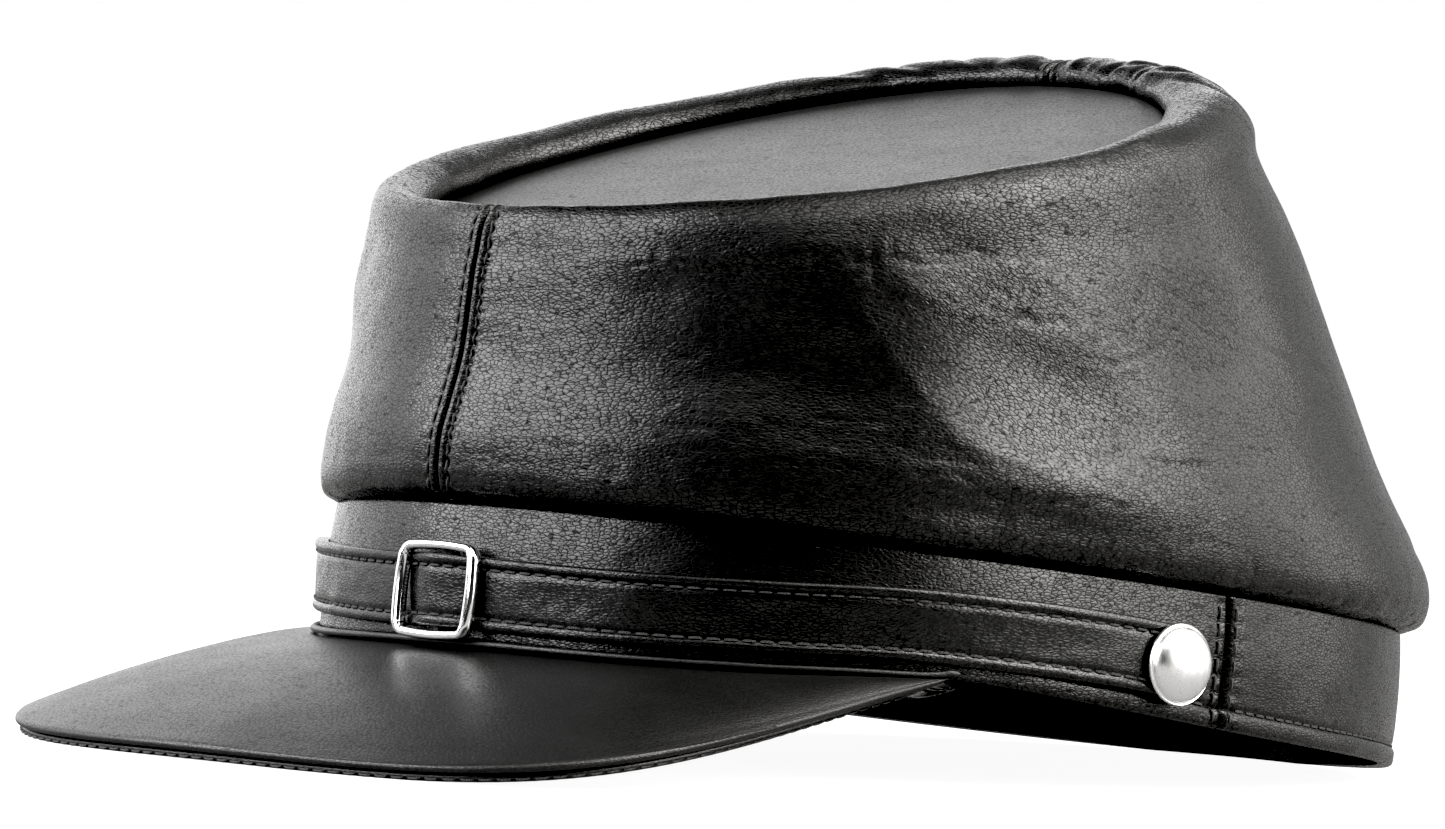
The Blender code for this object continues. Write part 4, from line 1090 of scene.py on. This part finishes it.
class Nodes:
    """Short way to add and join the nodes of a material or a world."""

    def __init__(self, owner):
        owner.use_nodes = True
        self.owner, self.tree = owner, owner.node_tree

    def put(self, socket, value):
        """Join a socket to another node's output, or give it a value."""
        if isinstance(value, bpy.types.NodeSocket):
            self.tree.links.new(value, socket)
        else:
            socket.default_value = value

    def add(self, kind, *values, **inputs):
        """A node, with values for its first sockets in order and for others by name."""
        made = self.tree.nodes.new("ShaderNode" + kind)
        for socket, value in zip(made.inputs, values):
            self.put(socket, value)
        for name, value in inputs.items():
            self.put(made.inputs[name], value)
        return made

    def math(self, operation, *values):
        made = self.add("Math", *values, 0.0, 0.0)
        made.operation = operation
        return made.outputs[0]

    def times(self, a, b):
        return self.math("MULTIPLY", a, b)

    def rest(self, share):
        return self.math("SUBTRACT", 1.0, share)

    def noise(self, place, scale, detail=2.0, **inputs):
        return self.add("TexNoise", Vector=place, Scale=scale, Detail=detail, **inputs).outputs

    def range(self, value, low, high, to_low, to_high):
        return self.add("MapRange", value, low, high, to_low, to_high).outputs[0]

    def mapped(self, place, **inputs):
        return self.add("Mapping", Vector=place, **inputs).outputs["Vector"]

    def pebbles(self, place, turn, cell):
        """Distance from the furrows between pebbles, which are longer along the turned level."""
        turned = self.mapped(place, Rotation=(radians(turn), 0, 0))
        longer = self.mapped(turned, Scale=PEBBLE)
        made = self.add("TexVoronoi", Vector=longer, Scale=1 / (cell * MM))
        made.feature = "DISTANCE_TO_EDGE"
        return made.outputs["Distance"]

    def lines(self, place, turn):
        """Thin, broken lines, level or turned about X so that they fall towards the back."""
        turned = self.mapped(place, Rotation=(radians(turn), 0, 0))
        noise = self.noise(self.mapped(turned, Scale=LINE), LINE_SCALE, Roughness=0.6)[0]
        ridges = self.math("ABSOLUTE", self.math("SUBTRACT", noise, 0.5))
        return self.rest(self.range(ridges, 0.0, 0.05, 0.0, 1.0))

    def bump(self, height, strength, distance):
        return self.add("Bump", Height=height, Strength=strength, Distance=distance * MM).outputs[0]

    def ramp(self, value, low, high):
        """Colour between two, at a value from 0 to 1."""
        made = self.add("ValToRGB", value)
        made.color_ramp.elements[0].color = (*low, 1)
        made.color_ramp.elements[1].color = (*high, 1)
        return made.outputs["Color"]

    def shade(self, **inputs):
        """The material, once its shader has its inputs."""
        for name, value in inputs.items():
            self.put(self.tree.nodes["Principled BSDF"].inputs[name.replace("_", " ")], value)
        return self.owner


def leather(name, tone, rough, cell, grain, furrow, crinkle):
    """Grained leather: rounded pebbles and thin creases in patches, with painted shade in the
    furrows and creases.
    """
    nodes = Nodes(bpy.data.materials.new(name))
    place = nodes.add("TexCoord").outputs["Object"]
    wobble = nodes.add("VectorMath", nodes.noise(place, WOBBLE_SCALE)["Color"],
                       (WOBBLE * MM,) * 3, place)
    wobble.operation = "MULTIPLY_ADD"
    spot = wobble.outputs["Vector"]
    slant = nodes.add("Attribute")
    slant.attribute_name = "slant"
    leaning = nodes.range(slant.outputs["Fac"], 0.15, 0.6, 0.0, 1.0)
    edge = nodes.math("ADD", nodes.times(nodes.pebbles(spot, 0.0, cell), nodes.rest(leaning)),
                      nodes.times(nodes.pebbles(spot, SLANT_TURN, cell), leaning))
    tops = nodes.range(edge, 0.01, 0.12, 0.0, 1.0)
    domes = nodes.math("POWER", nodes.range(edge, 0.0, 0.40, 0.0, 1.0), 0.6)
    single = nodes.noise(spot, PEBBLE_SHADE_SCALE / cell, 1.0)[0]
    patchy = nodes.noise(place, PATCH_SCALE)[0]
    patches = nodes.range(patchy, 0.35, 0.7, 0.3 * crinkle, crinkle)
    level = nodes.times(nodes.lines(spot, 0.0), patches)
    share = nodes.times(slant.outputs["Fac"], nodes.range(patchy, 0.3, 0.6, 0.4, 1.0))
    slanting = nodes.times(nodes.lines(spot, SLANT_TURN), nodes.times(share, 0.85))
    drawn = nodes.math("MAXIMUM", level, slanting)
    height = nodes.math("SUBTRACT", nodes.times(domes, grain), nodes.times(drawn, 0.5))

    # painted shade: the colour and the specular tint are darkened in the furrows and along the thin
    # creases, and differ at random from pebble to pebble
    painted_shade_and_pebble_tone = nodes.times(nodes.range(tops, 0.0, 1.0, 1.0 - furrow, 1.0),
                        nodes.range(single, 0.3, 0.7, 1.0 - 0.35 * furrow, 1.0))
    # painted shade along the thin creases
    painted_shade_and_pebble_tone = nodes.times(painted_shade_and_pebble_tone, nodes.rest(drawn))
    polish = nodes.noise(place, POLISH_SCALE, 4.0)[0]
    polish = nodes.range(polish, 0.3, 0.7, rough - 0.02, rough + 0.03)
    colour = nodes.add("Mix", painted_shade_and_pebble_tone)
    colour.data_type = "RGBA"
    nodes.put(colour.inputs[6], (0.0, 0.0, 0.0, 1.0))
    nodes.put(colour.inputs[7], (*tone, 1.0))
    # the painted shade goes into both the colour and the specular tint
    return nodes.shade(
        Base_Color=colour.outputs[2],
        Roughness=nodes.math("ADD", polish, nodes.range(tops, 0.0, 1.0, furrow / 3, 0.0)),
        Specular_Tint=nodes.add("CombineColor", painted_shade_and_pebble_tone, painted_shade_and_pebble_tone, painted_shade_and_pebble_tone).outputs[0],
        Normal=nodes.bump(height, 1.0, BUMP_HIGH),
    )


def thread(name):
    """Twisted black thread."""
    nodes = Nodes(bpy.data.materials.new(name))
    place = nodes.add("TexCoord").outputs["Object"]
    twist = nodes.add("TexWave", Vector=place, Scale=TWIST_SCALE, Distortion=1.5).outputs["Fac"]
    tone = nodes.ramp(twist, (0.004,) * 3, (0.012,) * 3)
    return nodes.shade(Base_Color=tone, Roughness=0.6, Normal=nodes.bump(twist, 0.6, TWIST_HIGH))


def chrome(name, rough):
    """Polished plate with faint scuffs."""
    nodes = Nodes(bpy.data.materials.new(name))
    place = nodes.add("TexCoord").outputs["Object"]
    scuffs = nodes.noise(nodes.mapped(place, Scale=(1, 1, 0.3)), SCUFF_SCALE, 4.0)[0]
    tarnish = nodes.noise(place, TARNISH_SCALE)[0]
    tint = nodes.ramp(tarnish, (0.80, 0.80, 0.81), (0.90, 0.90, 0.90))
    rough = nodes.range(scuffs, 0.4, 0.75, rough, rough + 0.09)
    return nodes.shade(Base_Color=tint, Metallic=1.0, Roughness=rough)


# ---------------- camera, light and stage

# The camera of the photo, in the cap's own frame: turned from the wearer's left towards the
# front, level with the mouth's plane, and rolled, with the picture's scale at the origin.
CAMERA_TURN = 47.09
CAMERA_RISE = -3.51
CAMERA_ROLL = 6.57
CAMERA_AWAY = 1300.0
PICTURE_WIDE = 1445
PICTURE_HIGH = 829
PIXELS_PER_MM = 5.76
ORIGIN_PIXEL = (860.05, 713.04)
SENSOR = 36.0
BLACK_LEVEL = 0.013
LIGHT_AWAY = 1.0                # metres from the lights to the point that they stand round
LIGHT_MIDDLE = 0.05             # height of that point
WARM = (1.0, 0.985, 0.95)
ROOM_LIGHT = 0.02               # strength of the room's own dim light
FLOOR_RADIUS = 12.0             # in metres
FLOOR_TONE = (0.2, 0.2, 0.2)
FLOOR_SHADE = 0.06              # how dark the painted shade under the cap may get in the floor's glow, and how far it reaches
FLOOR_SHADE_REACH = 0.6


def add_camera():
    turn, rise, roll = radians(CAMERA_TURN), radians(CAMERA_RISE), radians(CAMERA_ROLL)
    back = Vector((cos(turn) * cos(rise), -sin(turn) * cos(rise), sin(rise)))
    level = Vector((sin(turn), cos(turn), 0))
    plumb = back.cross(level)
    if plumb.z < 0:
        plumb = -plumb
    right = cos(roll) * level + sin(roll) * plumb
    up = -sin(roll) * level + cos(roll) * plumb
    across = (ORIGIN_PIXEL[0] - PICTURE_WIDE / 2) / PIXELS_PER_MM
    above = -(ORIGIN_PIXEL[1] - PICTURE_HIGH / 2) / PIXELS_PER_MM
    place = CAMERA_AWAY * back - across * right - above * up
    data = bpy.data.cameras.new("camera")
    data.sensor_width = SENSOR
    data.lens = PIXELS_PER_MM * CAMERA_AWAY / PICTURE_WIDE * SENSOR
    data.clip_start = 0.05
    data.clip_end = 50
    camera = bpy.data.objects.new("camera", data)
    bpy.context.scene.collection.objects.link(camera)
    pose = (TURN @ Matrix((right, up, back)).transposed()).to_4x4()
    pose.translation = (TURN @ place + OFFSET) * MM
    camera.matrix_world = pose
    bpy.context.scene.camera = camera


def softbox(name, turn, rise, half_turn, half_rise, radiance, tint=(1, 1, 1)):
    """Large soft light, seen from the cap at a turn from the front towards the left."""
    wide, high = 2 * tan(radians(half_turn)), 2 * tan(radians(half_rise))
    data = bpy.data.lights.new(name, "AREA")
    data.shape = "RECTANGLE"
    data.size = wide * LIGHT_AWAY
    data.size_y = high * LIGHT_AWAY
    data.energy = radiance * pi * data.size * data.size_y
    data.color = tint
    light = bpy.data.objects.new(name, data)
    bpy.context.scene.collection.objects.link(light)
    across, lift = radians(turn), radians(rise)
    towards = Vector((sin(across) * cos(lift), -cos(across) * cos(lift), sin(lift)))
    light.location = towards * LIGHT_AWAY + Vector((0, 0, LIGHT_MIDDLE))
    light.rotation_euler = towards.to_track_quat("Z", "Y").to_euler()
    light.visible_camera = False


def add_lights():
    """Bright walls on both sides, with a dark gap between them in front of the wearer's left."""
    softbox("left_wall", -81, 14, 27, 28, 2.0)
    softbox("left_key", -25, 29, 31, 23, 9.0)
    softbox("right_wall", 130, 17, 39, 31, 2.8, WARM)
    softbox("right_key", 108, 34, 26, 30, 5.0, WARM)
    softbox("right_edge", 104, 38, 12, 22, 5.5, WARM)
    softbox("back_panel", -127, 12, 22, 24, 2.0)
    softbox("back_corner", -166, 12, 18, 24, 0.6)
    softbox("right_above", 100, 67, 34, 20, 3.2, WARM)
    softbox("above_behind", 170, 62, 45, 20, 0.35)
    softbox("dark_side_fill", 28, 46, 26, 10, 0.8)


def add_world():
    """White behind the cap as the camera sees it, and a dim room for everything else."""
    nodes = Nodes(bpy.data.worlds.new("studio"))
    bpy.context.scene.world = nodes.owner
    room = nodes.tree.nodes["Background"]
    nodes.put(room.inputs["Color"], (1, 1, 1, 1))
    nodes.put(room.inputs["Strength"], ROOM_LIGHT)
    white = nodes.add("Background", (1, 1, 1, 1), 1.0)
    seen = nodes.add("LightPath").outputs["Is Camera Ray"]
    mix = nodes.add("MixShader", seen, room.outputs[0], white.outputs[0])
    nodes.put(nodes.tree.nodes["World Output"].inputs["Surface"], mix.outputs[0])


def add_floor():
    """Pale floor that runs off into the white background, its glow dimmed round the cap as painted
    shade.
    """
    bpy.ops.mesh.primitive_circle_add(vertices=128, radius=FLOOR_RADIUS, fill_type="NGON")
    floor = bpy.context.object
    floor.name = "floor"
    nodes = Nodes(bpy.data.materials.new("floor"))
    nodes.tree.nodes.remove(nodes.tree.nodes["Principled BSDF"])
    place = nodes.add("TexCoord").outputs["Object"]
    near = nodes.add("TexGradient", nodes.mapped(place, Scale=(1 / FLOOR_SHADE_REACH,) * 3))
    near.gradient_type = "SPHERICAL"
    # painted shade: the glow that only the camera sees is dimmed towards the middle, under the cap
    fade = nodes.math("MULTIPLY_ADD", near.outputs["Fac"], -FLOOR_SHADE, 1.0)
    seen = nodes.add("LightPath").outputs["Is Camera Ray"]
    glow = nodes.add("Emission", Strength=nodes.times(seen, fade))
    diffuse = nodes.add("BsdfDiffuse", Color=(*FLOOR_TONE, 1))
    both = nodes.add("AddShader", diffuse.outputs[0], glow.outputs[0])
    nodes.put(nodes.tree.nodes["Material Output"].inputs["Surface"], both.outputs[0])
    floor.data.materials.append(nodes.owner)


def set_picture():
    """Plain colours, with the photo's deep blacks."""
    view = bpy.context.scene.view_settings
    view.view_transform = "Standard"
    view.use_curve_mapping = True
    view.curve_mapping.black_level = (BLACK_LEVEL,) * 3
    view.curve_mapping.update()


# ---------------- whole cap

def dress():
    # tone, roughness, size of a pebble in millimetres, height of the pebbles, strength of the
    # painted shade in the furrows between them, and strength of the thin creases
    black = (0.002, 0.002, 0.002)
    crown_look = leather("crown_leather", black, 0.24, 0.76, 0.32, 0.92, 0.50)
    top_look = leather("top_leather", (0.006, 0.006, 0.006), 0.32, 0.65, 0.34, 0.50, 0.15)
    band_look = leather("band_leather", black, 0.22, 0.70, 0.26, 0.92, 0.40)
    strap_look = leather("strap_leather", black, 0.19, 0.70, 0.22, 0.75, 0.20)
    peak_look = leather("peak_leather", black, 0.35, 0.6, 0.26, 0.50, 0.15)
    edge_look = leather("edge_leather", black, 0.36, 0.6, 0.2, 0.5, 0.2)
    thread_look = thread("black_thread")
    chrome_look = chrome("chrome_plate", 0.07)
    button_look = chrome("button_plate", 0.26)

    rows = crown_half("crown_left", 1, crown_look) + crown_half("crown_right", -1, crown_look)
    add_stitches("crown_stitches", rows, thread_look)
    crown_top(top_look)
    band_length("band_front", -SIDE_SEAM, SIDE_SEAM, band_look)
    band_length("band_rear", SIDE_SEAM, 360 - SIDE_SEAM, band_look)
    rows = [hem_stitches(SIDE_SEAM + 2, 360 - SIDE_SEAM - 2)]
    rows += [hem_stitches(side * HEM_FULL, side * (SIDE_SEAM - 2)) for side in (-1, 1)]
    rows += [side_seam_stitches(side * SIDE_SEAM, offset)
             for side in (-1, 1) for offset in (-SEAM_STITCHES, SEAM_STITCHES)]
    add_stitches("band_stitches", rows, thread_look)
    peak_layer("peak", 0, peak_look, "leather")
    peak_layer("peak_underlay", 1, edge_look, "edge_leather")
    add_stitches("peak_stitches", [peak_stitches()], thread_look)
    welt(edge_look)
    chin_strap(strap_look)
    add_stitches("strap_stitches", strap_stitches(), thread_look)
    strap_buckle(chrome_look, thread_look)
    button("button_left", 1, button_look)
    button("button_right", -1, button_look)


add_camera()
add_world()
add_floor()
add_lights()
dress()
set_picture()
